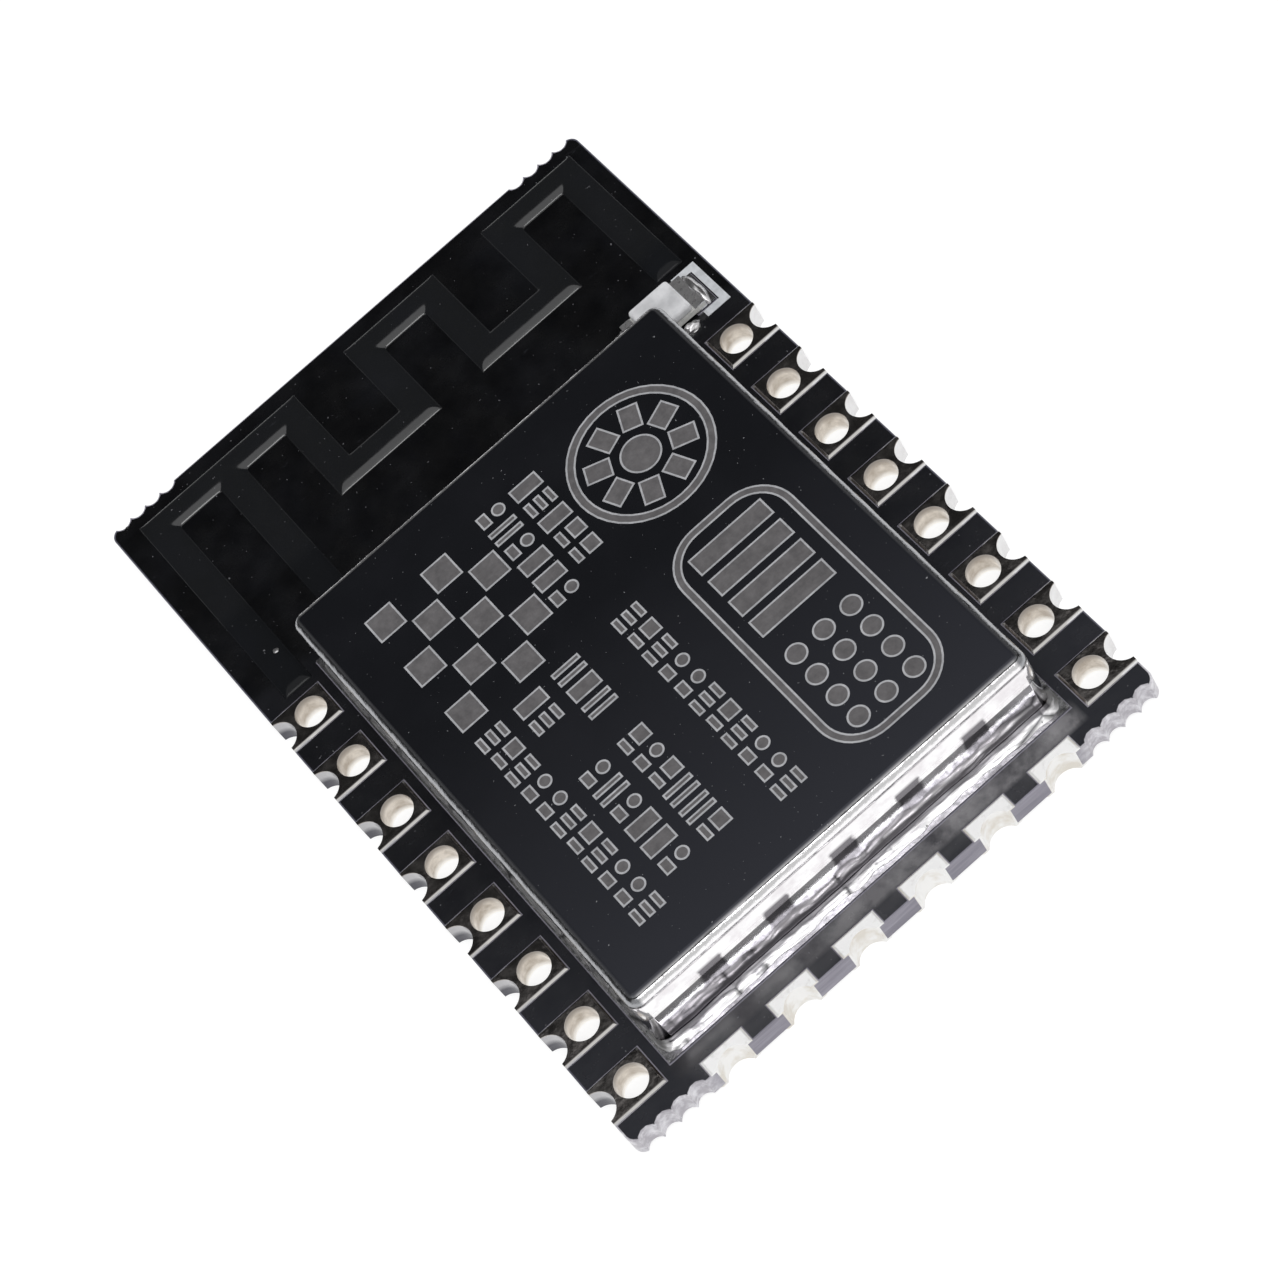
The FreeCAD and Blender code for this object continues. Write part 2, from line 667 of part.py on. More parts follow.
def small_parts(kind):
    """A row of ceramic blocks lying along Y, on lands at both ends."""
    blocks = [add_box(f"{kind}_{k}", x, y, LAND_TOP, "small_width", "small_length - 2 * small_end",
                      f"{kind}_height") for k, (x, y) in enumerate(SMALL_PARTS[kind])]
    return group(f"{kind}s", blocks)


def small_ends(name, base, length, height):
    """A box at both ends of every small part, growing outwards from where its plated end begins."""
    ends = []
    for kind, spots in SMALL_PARTS.items():
        for k, (x, y) in enumerate(spots):
            for side, sign in (("near", -1), ("far", 1)):
                middle = f"{y} + ({sign}) * (small_length / 2 - small_end + {length} / 2)"
                ends.append(add_box(f"{kind}_{name}_{k}_{side}", x, middle, base, "small_width", length,
                                    height or f"{kind}_height"))
    return ends


def chip_lands():
    """The paddle and the four rows of contact lands under the radio chip."""
    reach = "(chip_size / 2 + chip_land_overhang - chip_pin_length / 2)"
    lands = [add_box("chip_paddle_land", CHIP_X, CHIP_Y, CORE_TOP, "chip_paddle", "chip_paddle",
                     "land_thickness")]
    pins = int(val("chip_pins_per_side"))
    for k in range(pins):
        along = f"({k} - (chip_pins_per_side - 1) / 2) * chip_pin_pitch"
        for side, sign in enumerate((-1, 1)):
            out = f"({sign}) * {reach}"
            lands.append(add_box(f"chip_land_x_{side}_{k}", f"{CHIP_X} + {along}", f"{CHIP_Y} + {out}",
                                 CORE_TOP, "chip_pin_width", "chip_pin_length", "land_thickness"))
            lands.append(add_box(f"chip_land_y_{side}_{k}", f"{CHIP_X} + {out}", f"{CHIP_Y} + {along}",
                                 CORE_TOP, "chip_pin_length", "chip_pin_width", "land_thickness"))
    return lands


def crystal_lands():
    """A land under each corner of the crystal's tub."""
    xs = [f"{CRYSTAL_X} + ({sign}) * (crystal_length - crystal_land) / 2" for sign in (-1, 1)]
    ys = [f"{CRYSTAL_Y} + ({sign}) * (crystal_width - crystal_land) / 2" for sign in (-1, 1)]
    return [add_box(f"crystal_land_{a}_{b}", x, y, CORE_TOP, "crystal_land", "crystal_land", "land_thickness")
            for a, x in enumerate(xs) for b, y in enumerate(ys)]


def lead_spots():
    """Where each lead of the memory chip stands, and which way it points."""
    count = int(val("leads_per_side"))
    return [(f"{FLASH_X} + ({k} - (leads_per_side - 1) / 2) * lead_pitch", sign)
            for sign in (-1, 1) for k in range(count)]


def foot_line(sign):
    """The middle line of the memory chip's lead feet, on one of its two sides."""
    return f"{FLASH_Y} + ({sign}) * ({LEAD_Y} - lead_foot / 2)"


def flash_lands():
    return [add_box(f"flash_land_{k}", x, foot_line(sign), CORE_TOP, "lead_width", "lead_foot",
                    "land_thickness") for k, (x, sign) in enumerate(lead_spots())]


def component_lands():
    """Every solder land that the can hides."""
    lands = chip_lands() + crystal_lands() + flash_lands()
    lands += small_ends("land", CORE_TOP, "small_land_length", "land_thickness")
    return group("component_lands", lands)


def window(name, x, y, length, width):
    """An opening through the mask, with a margin all round."""
    return add_box(name, x, y, CORE_TOP, f"{length} + 2 * opening_margin",
                   f"{width} + 2 * opening_margin", "2 * mask_thickness")


def component_windows():
    """The openings of the mask round those lands, one for each part or row of leads."""
    span = "(chip_size + 2 * chip_land_overhang)"
    row = "(leads_per_side - 1) * lead_pitch + lead_width"
    windows = [window("chip_window", CHIP_X, CHIP_Y, span, span),
               window("crystal_window", CRYSTAL_X, CRYSTAL_Y, "crystal_length", "crystal_width")]
    windows += [window(f"flash_window_{k}", FLASH_X, foot_line(sign), row, "lead_foot")
                for k, sign in enumerate((-1, 1))]
    reach = "(small_length + 2 * (small_land_length - small_end))"
    for kind, spots in SMALL_PARTS.items():
        windows += [window(f"{kind}_window_{k}", x, y, "small_width", reach)
                    for k, (x, y) in enumerate(spots)]
    return windows


def radio_chip():
    """The flat leadless package, with a round mark in the lid at its first corner."""
    body = new_body("radio_chip")
    outline = new_sketch(body, "radio_chip_outline", LAND_TOP)
    add_rectangle(outline, f"{CHIP_X} - chip_size / 2", f"{CHIP_X} + chip_size / 2",
                  f"{CHIP_Y} - chip_size / 2", f"{CHIP_Y} + chip_size / 2")
    add_pad(body, outline, "chip_height")
    mark = new_sketch(body, "radio_chip_mark", f"{LAND_TOP} + chip_height")
    reach = "(chip_size / 2 - chip_mark_inset)"
    add_circle(mark, f"{CHIP_X} - {reach}", f"{CHIP_Y} + {reach}", "chip_mark_radius")
    add_pocket(body, mark, "chip_mark_depth")
    return body


def flash_chip():
    """The moulded body of the memory chip, drafted above and below the level where its leads come out."""
    foot = f"({LAND_TOP} + flash_standoff)"
    middle = "(flash_height / 2)"
    wide = (f"{FLASH_X} - flash_length / 2", f"{FLASH_X} + flash_length / 2",
            f"{FLASH_Y} - flash_width / 2", f"{FLASH_Y} + flash_width / 2")
    narrow = (f"{FLASH_X} - flash_length / 2 + flash_draft", f"{FLASH_X} + flash_length / 2 - flash_draft",
              f"{FLASH_Y} - flash_width / 2 + flash_draft", f"{FLASH_Y} + flash_width / 2 - flash_draft")
    lower = add_frustum("flash_lower", narrow, wide, foot, middle)
    upper = add_frustum("flash_upper", wide, narrow, f"{foot} + {middle}", middle)
    return fuse("flash_chip", [lower, upper])


def flash_lead(number, x, sign):
    """One gull-wing lead: out of the body, down to the board and flat along its land."""
    body = doc.addObject("PartDesign::Body", f"flash_lead_{number}")
    sketch = body.newObject("Sketcher::SketchObject", f"lead_profile_{number}")
    plane = next(f for f in body.Origin.OriginFeatures if f.Role == "YZ_Plane")
    sketch.AttachmentSupport = [(plane, "")]
    sketch.MapMode = "FlatFace"
    root = "flash_width / 2"
    knee = f"{LEAD_Y} - lead_foot"
    shin = f"{knee} - lead_thickness"
    shoulder = "flash_standoff + flash_height / 2 + lead_thickness / 2"
    armpit = f"{shoulder} - lead_thickness"
    points = [(root, shoulder), (knee, shoulder), (knee, "lead_thickness"), (LEAD_Y, "lead_thickness"),
              (LEAD_Y, "0"), (shin, "0"), (shin, armpit), (root, armpit)]
    count = len(points)
    spots = [FreeCAD.Vector(val(u), val(v), 0) for u, v in points]
    for k in range(count):
        sketch.addGeometry(Part.LineSegment(spots[k], spots[(k + 1) % count]), False)
    for k in range(count):
        sketch.addConstraint(Sketcher.Constraint("Coincident", k, 2, (k + 1) % count, 1))
        hold(sketch, "DistanceX", (k, 1), points[k][0])
        hold(sketch, "DistanceY", (k, 1), points[k][1])
    strip = add_pad(body, sketch, "lead_width")
    strip.Midplane = True
    place(body, x, FLASH_Y, LAND_TOP, 180 if sign < 0 else 0)
    return body


def flash_leads():
    return group("flash_leads", [flash_lead(k, x, sign) for k, (x, sign) in enumerate(lead_spots())])


def crystal_tub():
    """The crystal's ceramic base, with its upright corners cut off."""
    body = new_body("crystal_tub")
    outline = new_sketch(body, "crystal_outline", LAND_TOP)
    add_rectangle(outline, f"{CRYSTAL_X} - crystal_length / 2", f"{CRYSTAL_X} + crystal_length / 2",
                  f"{CRYSTAL_Y} - crystal_width / 2", f"{CRYSTAL_Y} + crystal_width / 2")
    block = add_pad(body, outline, "crystal_tub_height")
    add_edge_feature(body, "Chamfer", block, is_upright, "crystal_corner")
    return body


def crystal_lid():
    """The welded metal lid on the crystal's base."""
    body = new_body("crystal_lid")
    outline = new_sketch(body, "crystal_lid_outline", f"{LAND_TOP} + crystal_tub_height")
    half_length = "(crystal_length / 2 - crystal_lid_margin)"
    half_width = "(crystal_width / 2 - crystal_lid_margin)"
    add_rectangle(outline, f"{CRYSTAL_X} - {half_length}", f"{CRYSTAL_X} + {half_length}",
                  f"{CRYSTAL_Y} - {half_width}", f"{CRYSTAL_Y} + {half_width}")
    block = add_pad(body, outline, "crystal_lid_height")
    add_edge_feature(body, "Chamfer", block, is_upright, "crystal_corner - crystal_lid_margin / 2")
    return body


def top_mask():
    """The upper mask: a sheet with a ridge over the antenna, open at every land."""
    ridge = antenna_runs("ridge_run", "mask_thickness", "trace_height + mask_thickness",
                         "(trace_bevel + mask_thickness)")
    sheet_and_ridge = fuse("mask_blank", [mask_layer("mask_sheet", CORE_TOP)] + ridge)
    copper = antenna_runs("mask_copper_run", "0", "trace_height", "trace_bevel")
    can_window = cut("can_window", can_land_box("can_window_outer", "shield_land_side + mask_gap",
                                                "shield_land_front + mask_gap"),
                     can_land_box("can_window_inner", CAN_LAND_INSIDE, CAN_LAND_INSIDE))
    lamp_windows = lamp_spots("lamp_window", CORE_TOP, "lamp_land_length + 2 * mask_gap",
                              "lamp_width + 2 * mask_gap", "2 * mask_thickness", LAMP_REACH)
    tools = copper + [can_window] + lamp_windows + component_windows()
    return cut("solder_mask_top", sheet_and_ridge, fuse("mask_openings", tools))


CAN_LAND_INSIDE = "(-sheet_thickness - shield_land_inside - mask_gap)"


def can_land_box(name, side, front):
    """A box over the can's land, grown by the given amounts."""
    length = f"(2 * {SHIELD_SIDE} + 2 * ({side}))"
    width = f"({SHIELD_BACK} - {SHIELD_FRONT} + ({side}) + ({front}))"
    y = f"({SHIELD_FRONT} + {SHIELD_BACK} + ({side}) - ({front})) / 2"
    return add_box(name, "0", y, CORE_TOP, length, width, "2 * mask_thickness")


laminate = core_layer()
bottom_mask = mask_layer("solder_mask_bottom", "(land_thickness - mask_thickness)")

nodes = [laminate, top_mask(), bottom_mask]
nodes += edge_pads()
nodes += [antenna_trace(), shield_land(), shield_can(), shield_solder()]
nodes += [lamp_lands(), lamp_board("lamp_base"), lamp_terminals(), lamp_lens(), lamp_solder()]
nodes += [ink_bracket(), component_lands()]
nodes += [radio_chip(), flash_chip(), flash_leads(), crystal_tub(), crystal_lid()]
nodes += [small_parts(kind) for kind in SMALL_PARTS]
nodes.append(group("small_part_ends", small_ends("end", LAND_TOP, "small_end", None)))
doc.recompute()

for thing in doc.Objects:
    if {"Invalid", "Error"} & set(thing.State):
        raise RuntimeError(f"{thing.Label} failed: {thing.State}")
for node in nodes:
    if node.Shape.isNull() or not node.Shape.isValid():
        raise RuntimeError(f"{node.Label} has no valid shape")

os.makedirs("parts", exist_ok=True)
for node in nodes:
    node.Shape.exportStep(f"parts/{node.Label}.step")
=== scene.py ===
import math

import bmesh
import bpy
from mathutils import Matrix, Vector, noise


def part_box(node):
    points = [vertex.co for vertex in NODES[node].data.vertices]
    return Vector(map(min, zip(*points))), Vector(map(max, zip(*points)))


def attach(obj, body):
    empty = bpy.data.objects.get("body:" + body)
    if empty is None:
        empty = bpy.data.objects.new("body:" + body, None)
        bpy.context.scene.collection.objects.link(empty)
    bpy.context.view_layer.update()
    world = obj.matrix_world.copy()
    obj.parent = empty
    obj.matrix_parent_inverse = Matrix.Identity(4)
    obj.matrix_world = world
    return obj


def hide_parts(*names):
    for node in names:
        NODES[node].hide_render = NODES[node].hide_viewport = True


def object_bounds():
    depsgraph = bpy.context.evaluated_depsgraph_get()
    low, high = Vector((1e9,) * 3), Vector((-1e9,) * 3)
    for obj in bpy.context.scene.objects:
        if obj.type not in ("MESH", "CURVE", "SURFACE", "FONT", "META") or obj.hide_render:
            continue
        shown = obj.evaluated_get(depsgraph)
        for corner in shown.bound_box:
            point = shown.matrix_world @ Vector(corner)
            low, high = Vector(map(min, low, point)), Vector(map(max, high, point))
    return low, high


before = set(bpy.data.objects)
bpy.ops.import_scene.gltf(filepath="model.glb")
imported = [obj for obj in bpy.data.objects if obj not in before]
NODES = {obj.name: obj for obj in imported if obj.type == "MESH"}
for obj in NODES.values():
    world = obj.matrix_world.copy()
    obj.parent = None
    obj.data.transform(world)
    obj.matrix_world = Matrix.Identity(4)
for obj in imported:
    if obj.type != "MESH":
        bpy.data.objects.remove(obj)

CAD_LOW, CAD_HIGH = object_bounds()

# Radio module: finishes and fine pieces. Lengths are in millimetres, and MM turns them to metres.
MM = 0.001
NEAR = 1e-4


def frame_box(name):
    """Lowest and highest corner of a node, in millimetres."""
    return [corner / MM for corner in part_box(name)]


# Levels and outlines taken from the frame
BOARD_LOW, BOARD_HIGH = frame_box("laminate")
CAN_LOW, CAN_HIGH = frame_box("shield_can")
LENS_LOW, LENS_HIGH = frame_box("lamp_lens")
LAMP_LOW, LAMP_HIGH = frame_box("lamp_solder")
TRACE_LOW, TRACE_HIGH = frame_box("antenna_trace")
LAND_TOP = frame_box("pad_01")[1].z
MASK_TOP = frame_box("ink_bracket")[0].z
COPPER_EDGE = frame_box("shield_land")[1].y

# Side pads
PAD_PITCH = 2.0
PAD_LINE = -10.71
PAD_HALF = 0.47
NOTCH_BACK = 7.46

# Board: painted sheen on the mask in front of the can, and the two stretches of its short edge that were
# snapped off
SHEEN_BACK = -10.8
SHEEN_FRONT = -11.6
SHEEN_SIDE = 6.3
SNAP_SIDE = 5.3
SNAP_BACK = -11.2

# Shield can
CAN_SHEET = 0.2
CAN_CORNER = 0.32
CAN_BEND = 0.28
MARK_ROOM = 0.006
LID_LEVEL = CAN_HIGH.z - MARK_ROOM
BEND_LEVEL = LID_LEVEL - CAN_BEND
MARK_RIM = 0.05
RIM_RISE = 0.003
FIELD_RISE = 0.005

# Painted reflections on the can's wall: the mask strip above its solder, and dark patches for the webs
REFLECTION_TOP = 1.72
REFLECTION_FOOT = 1.20
PATCH_TOP = 2.34
PATCH_FOOT = 1.42
PATCH_HALF = 0.54
PATCH_SIDE = 4.7

# Solder round the can
SOLDER_FRONT = 0.38
SOLDER_SIDE = 0.11
SOLDER_RISE = 0.14
SOLDER_LUMP = 0.03
SEAM_ROUND = 420
SEAM_ACROSS = 20

# Antenna ridge
TRACE_WIDTH = 0.72
TOP_TURN = 2.24
MEANDER_DEPTH = 2.74
FEED_LOW = 4.57
TAIL_LOW = 6.40
RIDGE_REACH = 0.44
RIDGE_CROWN = 0.095
RIDGE_STEEPNESS = 4
RIDGE_CELL = 0.05
RIDGE_SHEET = 0.004
RIDGE_SUNK = 0.002
RIDGE_WAVE = 0.004
RIDGE_CUT = 1.08

# Break-off bites and what is left between them
BITE_INSET = 0.45
BITE_PITCH = 0.5
BITE_COUNT = 4
STUB_INSET = 0.12
STUB_FOOT = 0.02
STUB_SIZE = (0.07, 0.08, 0.30)
STUB_SPREAD = 0.03
WEB_INSET = 0.22
WEB_SIZE = (0.27, 0.16, 0.62)

# Status lamp
LENS_ROUND = 0.11
FILLET_INSET = 0.19
FILLET_REACH = 0.18
FILLET_RISE = 0.26

# Stray solder: middle, height above the mask, size, seed and roughness
DROPS = [
    (6.48, 4.50, 0.0, (0.26, 0.15, 0.17), 5.0, 0.25),
    (6.05, 4.47, 0.0, (0.20, 0.09, 0.12), 6.0, 0.25),
    # on the ground hole beside the antenna
    (-6.73, 5.44, 0.05, (0.125, 0.125, 0.05), 7.0, 0.1),
]


# Helpers for meshes

def finish_piece(bm, name, mat, smooth=True):
    """Turn a bmesh in millimetres into a finished object that rides on the one body."""
    bmesh.ops.scale(bm, vec=(MM, MM, MM), verts=bm.verts)
    mesh = bpy.data.meshes.new(name)
    bm.to_mesh(mesh)
    bm.free()
    piece = bpy.data.objects.new(name, mesh)
    bpy.context.scene.collection.objects.link(piece)
    for face in mesh.polygons:
        face.use_smooth = smooth
    mesh.materials.append(mat)
    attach(piece, "root")
    return piece


def add_block(bm, low, high):
    """A cuboid between two corners."""
    made = bmesh.ops.create_cube(bm, size=1.0)["verts"]
    bmesh.ops.scale(bm, vec=high - low, verts=made)
    bmesh.ops.translate(bm, vec=(low + high) / 2, verts=made)


def is_upright(edge):
    way = edge.verts[1].co - edge.verts[0].co
    return abs(way.z) > 0.99 * way.length


def add_lump(bm, centre, size, seed, roughness):
    """A blob of solder or torn fibre: a ball stretched to size, with uneven sides and a flat foot."""
    made = bmesh.ops.create_icosphere(bm, subdivisions=4, radius=1.0)["verts"]
    for v in made:
        uneven = 1 + roughness * noise.noise(v.co * 1.7 + Vector((seed, 0, 0)))
        uneven += 0.3 * roughness * noise.noise(v.co * 5.0 + Vector((0, seed, 0)))
        v.co = Vector(centre) + Vector(c * s for c, s in zip(v.co * uneven, size))
        v.co.z = max(v.co.z, centre[2])


# Helpers for materials

class Finish:
    """A node material under construction, with short ways to add the nodes that these pieces use."""

    def __init__(self, name, metallic=0.0, roughness=0.5):
        self.mat = bpy.data.materials.new(name)
        self.mat.use_nodes = True
        self.tree = self.mat.node_tree
        self.shader = self.tree.nodes["Principled BSDF"]
        self.set("Metallic", metallic)
        self.set("Roughness", roughness)
        self.place = self.node("ShaderNodeTexCoord").outputs["Object"]
        self.heights = None

    def set(self, socket, value):
        self.shader.inputs[socket].default_value = value

    def node(self, kind, **values):
        made = self.tree.nodes.new(kind)
        for key, value in values.items():
            setattr(made, key, value)
        return made

    def link(self, source, target):
        self.tree.links.new(source, target)

    def drive(self, socket, source):
        self.link(source, self.shader.inputs[socket])

    def stretched(self, scale):
        """Object coordinates stretched along X, Y and Z."""
        mapping = self.node("ShaderNodeMapping")
        mapping.inputs["Scale"].default_value = scale
        self.link(self.place, mapping.inputs["Vector"])
        return mapping.outputs["Vector"]

    def noise(self, per_mm, detail=3.0, roughness=0.55, vector=None):
        """Noise with about so many features in each millimetre."""
        made = self.node("ShaderNodeTexNoise")
        made.inputs["Scale"].default_value = per_mm / MM
        made.inputs["Detail"].default_value = detail
        made.inputs["Roughness"].default_value = roughness
        self.link(vector or self.place, made.inputs["Vector"])
        return made.outputs["Fac"]

    def cracks(self, per_mm):
        """Distance to the nearest border between uneven cells."""
        made = self.node("ShaderNodeTexVoronoi", feature="DISTANCE_TO_EDGE")
        made.inputs["Scale"].default_value = per_mm / MM
        self.link(self.place, made.inputs["Vector"])
        return made.outputs["Distance"]

    def ramp(self, source, low, high, start=0.0, end=1.0):
        """Map one span of a value onto another, held at both ends."""
        made = self.node("ShaderNodeMapRange", clamp=True)
        for socket, value in zip(("From Min", "From Max", "To Min", "To Max"), (low, high, start, end)):
            made.inputs[socket].default_value = value
        self.link(source, made.inputs["Value"])
        return made.outputs["Result"]

    def remap(self, source, start, end):
        """Turn 0 to 1 into another span."""
        return self.ramp(source, 0.0, 1.0, start, end)

    def blend(self, factor, first, second):
        """Mix two colours, each a triple or another node's output."""
        made = self.node("ShaderNodeMix", data_type="RGBA")
        self.link(factor, made.inputs["Factor"])
        for socket, value in (("A", first), ("B", second)):
            target = next(i for i in made.inputs if i.name == socket and i.type == "RGBA")
            if isinstance(value, tuple):
                target.default_value = (*value, 1.0)
            else:
                self.link(value, target)
        return next(o for o in made.outputs if o.type == "RGBA")

    def math(self, operation, first, second):
        made = self.node("ShaderNodeMath", operation=operation)
        for socket, value in zip(made.inputs, (first, second)):
            if isinstance(value, (int, float)):
                socket.default_value = value
            else:
                self.link(value, socket)
        return made.outputs[0]

    def product(self, first, *others):
        """High only where every value is high."""
        for other in others:
            first = self.math("MULTIPLY", first, other)
        return first

    def axis(self, name):
        """One object coordinate, in metres."""
        made = self.node("ShaderNodeSeparateXYZ")
        self.link(self.place, made.inputs[0])
        return made.outputs[name]

    def span(self, axis, low, high):
        """From 0 to 1 between two places in millimetres along an axis."""
        return self.ramp(self.axis(axis), low * MM, high * MM)

    def reach(self, low, high):
        """From 0 to 1 between two distances in millimetres from the middle plane, on either side."""
        return self.ramp(self.math("ABSOLUTE", self.axis("X"), 0.0), low * MM, high * MM)

    def bump(self, height, depth, strength=1.0):
        """Relief of about this many millimetres, on top of what is there."""
        made = self.node("ShaderNodeBump")
        made.inputs["Strength"].default_value = strength
        made.inputs["Distance"].default_value = depth * MM
        self.link(height, made.inputs["Height"])
        if self.heights:
            self.link(self.heights, made.inputs["Normal"])
        self.heights = made.outputs["Normal"]
        self.link(self.heights, self.shader.inputs["Normal"])


# Finishes

def strip_painted_sheen(f, tone):
    """Painted sheen over the strip of mask between the end pads and the solder, paler towards +X, on the
    upper side alone.
    """
    strip = f.product(f.span("Y", SHEEN_BACK, SHEEN_BACK - 0.2), f.span("Y", SHEEN_FRONT, SHEEN_FRONT + 0.15),
                      f.reach(SHEEN_SIDE, SHEEN_SIDE - 0.3), f.span("Z", 0.3, 0.5))
    # painted sheen: paler towards +X, in uneven patches
    sheen = f.blend(f.span("X", -5.5, 3.0), (0.03, 0.029, 0.033), (0.21, 0.205, 0.215))
    sheen = f.blend(f.ramp(f.noise(1.3, 5.0, 0.6), 0.3, 0.56), tone, sheen)
    return f.blend(strip, tone, sheen)


def mask_finish(name, bare, over_copper, shiny=0.18, dull=0.32, gloss=0.5, low_gloss=0.5):
    """Glossy black solder mask, paler over copper, with painted sheen towards the pads and on the strip
    in front of the can, and with orange peel, scuffs and lint.
    """
    f = Finish(name)
    if gloss != low_gloss:
        f.drive("Specular IOR Level", f.remap(f.span("Y", 7.0, 7.5), low_gloss, gloss))
    plane = f.span("Y", COPPER_EDGE + 0.5, COPPER_EDGE + 0.2)
    tone = f.blend(plane, bare, over_copper)
    # painted sheen: the mask paler towards the pad end
    tone = f.blend(f.span("Y", -2.0, -10.0), tone, (0.019, 0.020, 0.026))
    tone = strip_painted_sheen(f, tone)
    cloud = f.ramp(f.noise(0.5, 4.0), 0.45, 0.75, 0.0, 0.4)
    tone = f.blend(cloud, tone, (0.011, 0.012, 0.016))
    scuff = f.ramp(f.noise(1.0, 5.0, 0.7, f.stretched((1.0, 5.0, 1.0))), 0.66, 0.74, 0.0, 0.6)
    tone = f.blend(scuff, tone, (0.03, 0.032, 0.038))
    lint = f.ramp(f.noise(9.0, 2.0), 0.74, 0.76)
    f.drive("Base Color", f.blend(lint, tone, (0.13, 0.13, 0.14)))
    f.drive("Roughness", f.ramp(f.noise(1.2, 5.0), 0.3, 0.75, shiny, dull))
    f.bump(f.noise(2.2, 4.0), 0.012, 0.35)
    return f.mat


def laminate_finish():
    """Routed glass-epoxy: layers along the edge, pale, glassy fibre where the board snapped off, and long
    sides painted darker as shade.
    """
    f = Finish("routed_laminate")
    layers = f.noise(1.0, 5.0, 0.6, f.stretched((0.7, 0.7, 9.0)))
    tone = f.blend(f.ramp(layers, 0.35, 0.7), (0.22, 0.21, 0.255), (0.34, 0.325, 0.385))
    snapped = f.product(f.reach(SNAP_SIDE, SNAP_SIDE + 0.6), f.span("Y", SNAP_BACK, SNAP_BACK - 0.4))
    glass = f.blend(f.ramp(f.noise(4.0, 5.0, 0.65), 0.4, 0.66), (0.48, 0.46, 0.50), (0.86, 0.85, 0.89))
    tone = f.blend(snapped, tone, glass)
    # painted shade: the long sides darker than the short front edge
    long_sides_painted_shade = f.product(f.reach(7.6, 7.9), f.span("Y", -11.3, -10.9))
    f.drive("Base Color", f.blend(long_sides_painted_shade, tone, (0.10, 0.10, 0.135)))
    f.drive("Roughness", f.remap(snapped, 0.5, 0.28))
    f.bump(layers, 0.02, 0.4)
    f.bump(f.noise(5.0, 5.0, 0.65), 0.02, 0.5)
    return f.mat


def side_pad_finish():
    """Warm, blotched plating with painted light and shade: dark lands, walls darker under the land and
    paler with depth, highlit straight edges, and notches white on +X and dark on -X.
    """
    f = Finish("warm_plated_metal")
    blotch = f.ramp(f.noise(2.4, 4.0, 0.6), 0.36, 0.66)
    wall = f.blend(blotch, (0.42, 0.365, 0.305), (0.70, 0.64, 0.565))
    # painted light: the hole walls paler towards their foot
    wall = f.blend(f.span("Z", 0.24, 0.02), wall, (0.97, 0.95, 0.91))
    # painted shade: the hole walls darker just under the land
    wall = f.blend(f.span("Z", LAND_TOP - 0.08, LAND_TOP - 0.26), (0.32, 0.285, 0.25), wall)
    from_centre = f.math("PINGPONG", f.math("SUBTRACT", f.axis("Y"), PAD_LINE * MM), PAD_PITCH / 2 * MM)
    # painted highlight along the straight ends of each land
    painted_edge_highlight = f.product(f.ramp(from_centre, PAD_HALF * MM, (PAD_HALF + 0.05) * MM),
                         f.span("Z", LAND_TOP - 0.08, LAND_TOP - 0.06))
    edge = f.blend(painted_edge_highlight, wall, (0.86, 0.84, 0.81))
    # painted reflection: the tops of the lands painted dark
    tone = f.blend(f.span("Z", LAND_TOP - 0.004, LAND_TOP - 0.02), (0.31, 0.29, 0.28), edge)
    notch = f.product(f.reach(NOTCH_BACK, NOTCH_BACK + 0.1),
                      f.span("Z", LAND_TOP - 0.02, LAND_TOP - 0.04))
    # notches: painted reflection near white on +X, painted shade on -X, darker towards the foot
    notch_painted_light_and_shade = f.blend(blotch, (0.88, 0.87, 0.87), (0.97, 0.97, 0.97))
    left_notch_painted_shade = f.blend(f.span("Z", 0.52, 0.30), (0.56, 0.555, 0.57), (0.075, 0.075, 0.095))
    notch_painted_light_and_shade = f.blend(f.span("X", -7.2, -7.4), notch_painted_light_and_shade, left_notch_painted_shade)
    f.drive("Base Color", f.blend(notch, tone, notch_painted_light_and_shade))
    f.drive("Metallic", f.remap(notch, 1.0, 0.15))
    f.drive("Roughness", f.ramp(f.noise(3.0, 4.0), 0.35, 0.7, 0.1, 0.24))
    f.bump(f.noise(2.6, 3.0), 0.03, 0.35)
    return f.mat


def end_pad_finish():
    """Tin painted bright white, a painted highlight, with a warm edge to the notch wall."""
    f = Finish("tin_painted_white", metallic=0.1, roughness=0.4)
    grain = f.noise(5.0, 5.0, 0.6)
    # painted highlight: the tin painted near white
    white = f.blend(f.ramp(grain, 0.56, 0.75), (0.98, 0.98, 0.975), (0.80, 0.79, 0.78))
    rim = f.ramp(f.noise(1.6, 3.0), 0.45, 0.6)
    warm = f.blend(rim, (0.98, 0.975, 0.96), (0.80, 0.76, 0.69))
    top = f.span("Z", LAND_TOP - 0.03, LAND_TOP - 0.01)
    f.drive("Base Color", f.blend(top, warm, white))
    f.bump(grain, 0.02, 0.4)
    return f.mat


def tin_finish(name, base, dull=0.62, smooth=0.1, rough=0.32):
    """Tin or solder: bright, with grain and small dull patches."""
    f = Finish(name, metallic=1.0)
    grain = f.noise(7.0, 5.0, 0.6)
    f.drive("Base Color", f.blend(f.ramp(grain, 0.45, 0.75), base, tuple(dull * c for c in base)))
    f.drive("Roughness", f.ramp(grain, 0.35, 0.75, smooth, rough))
    f.bump(f.noise(4.0, 4.0), 0.02, 0.4)
    return f.mat


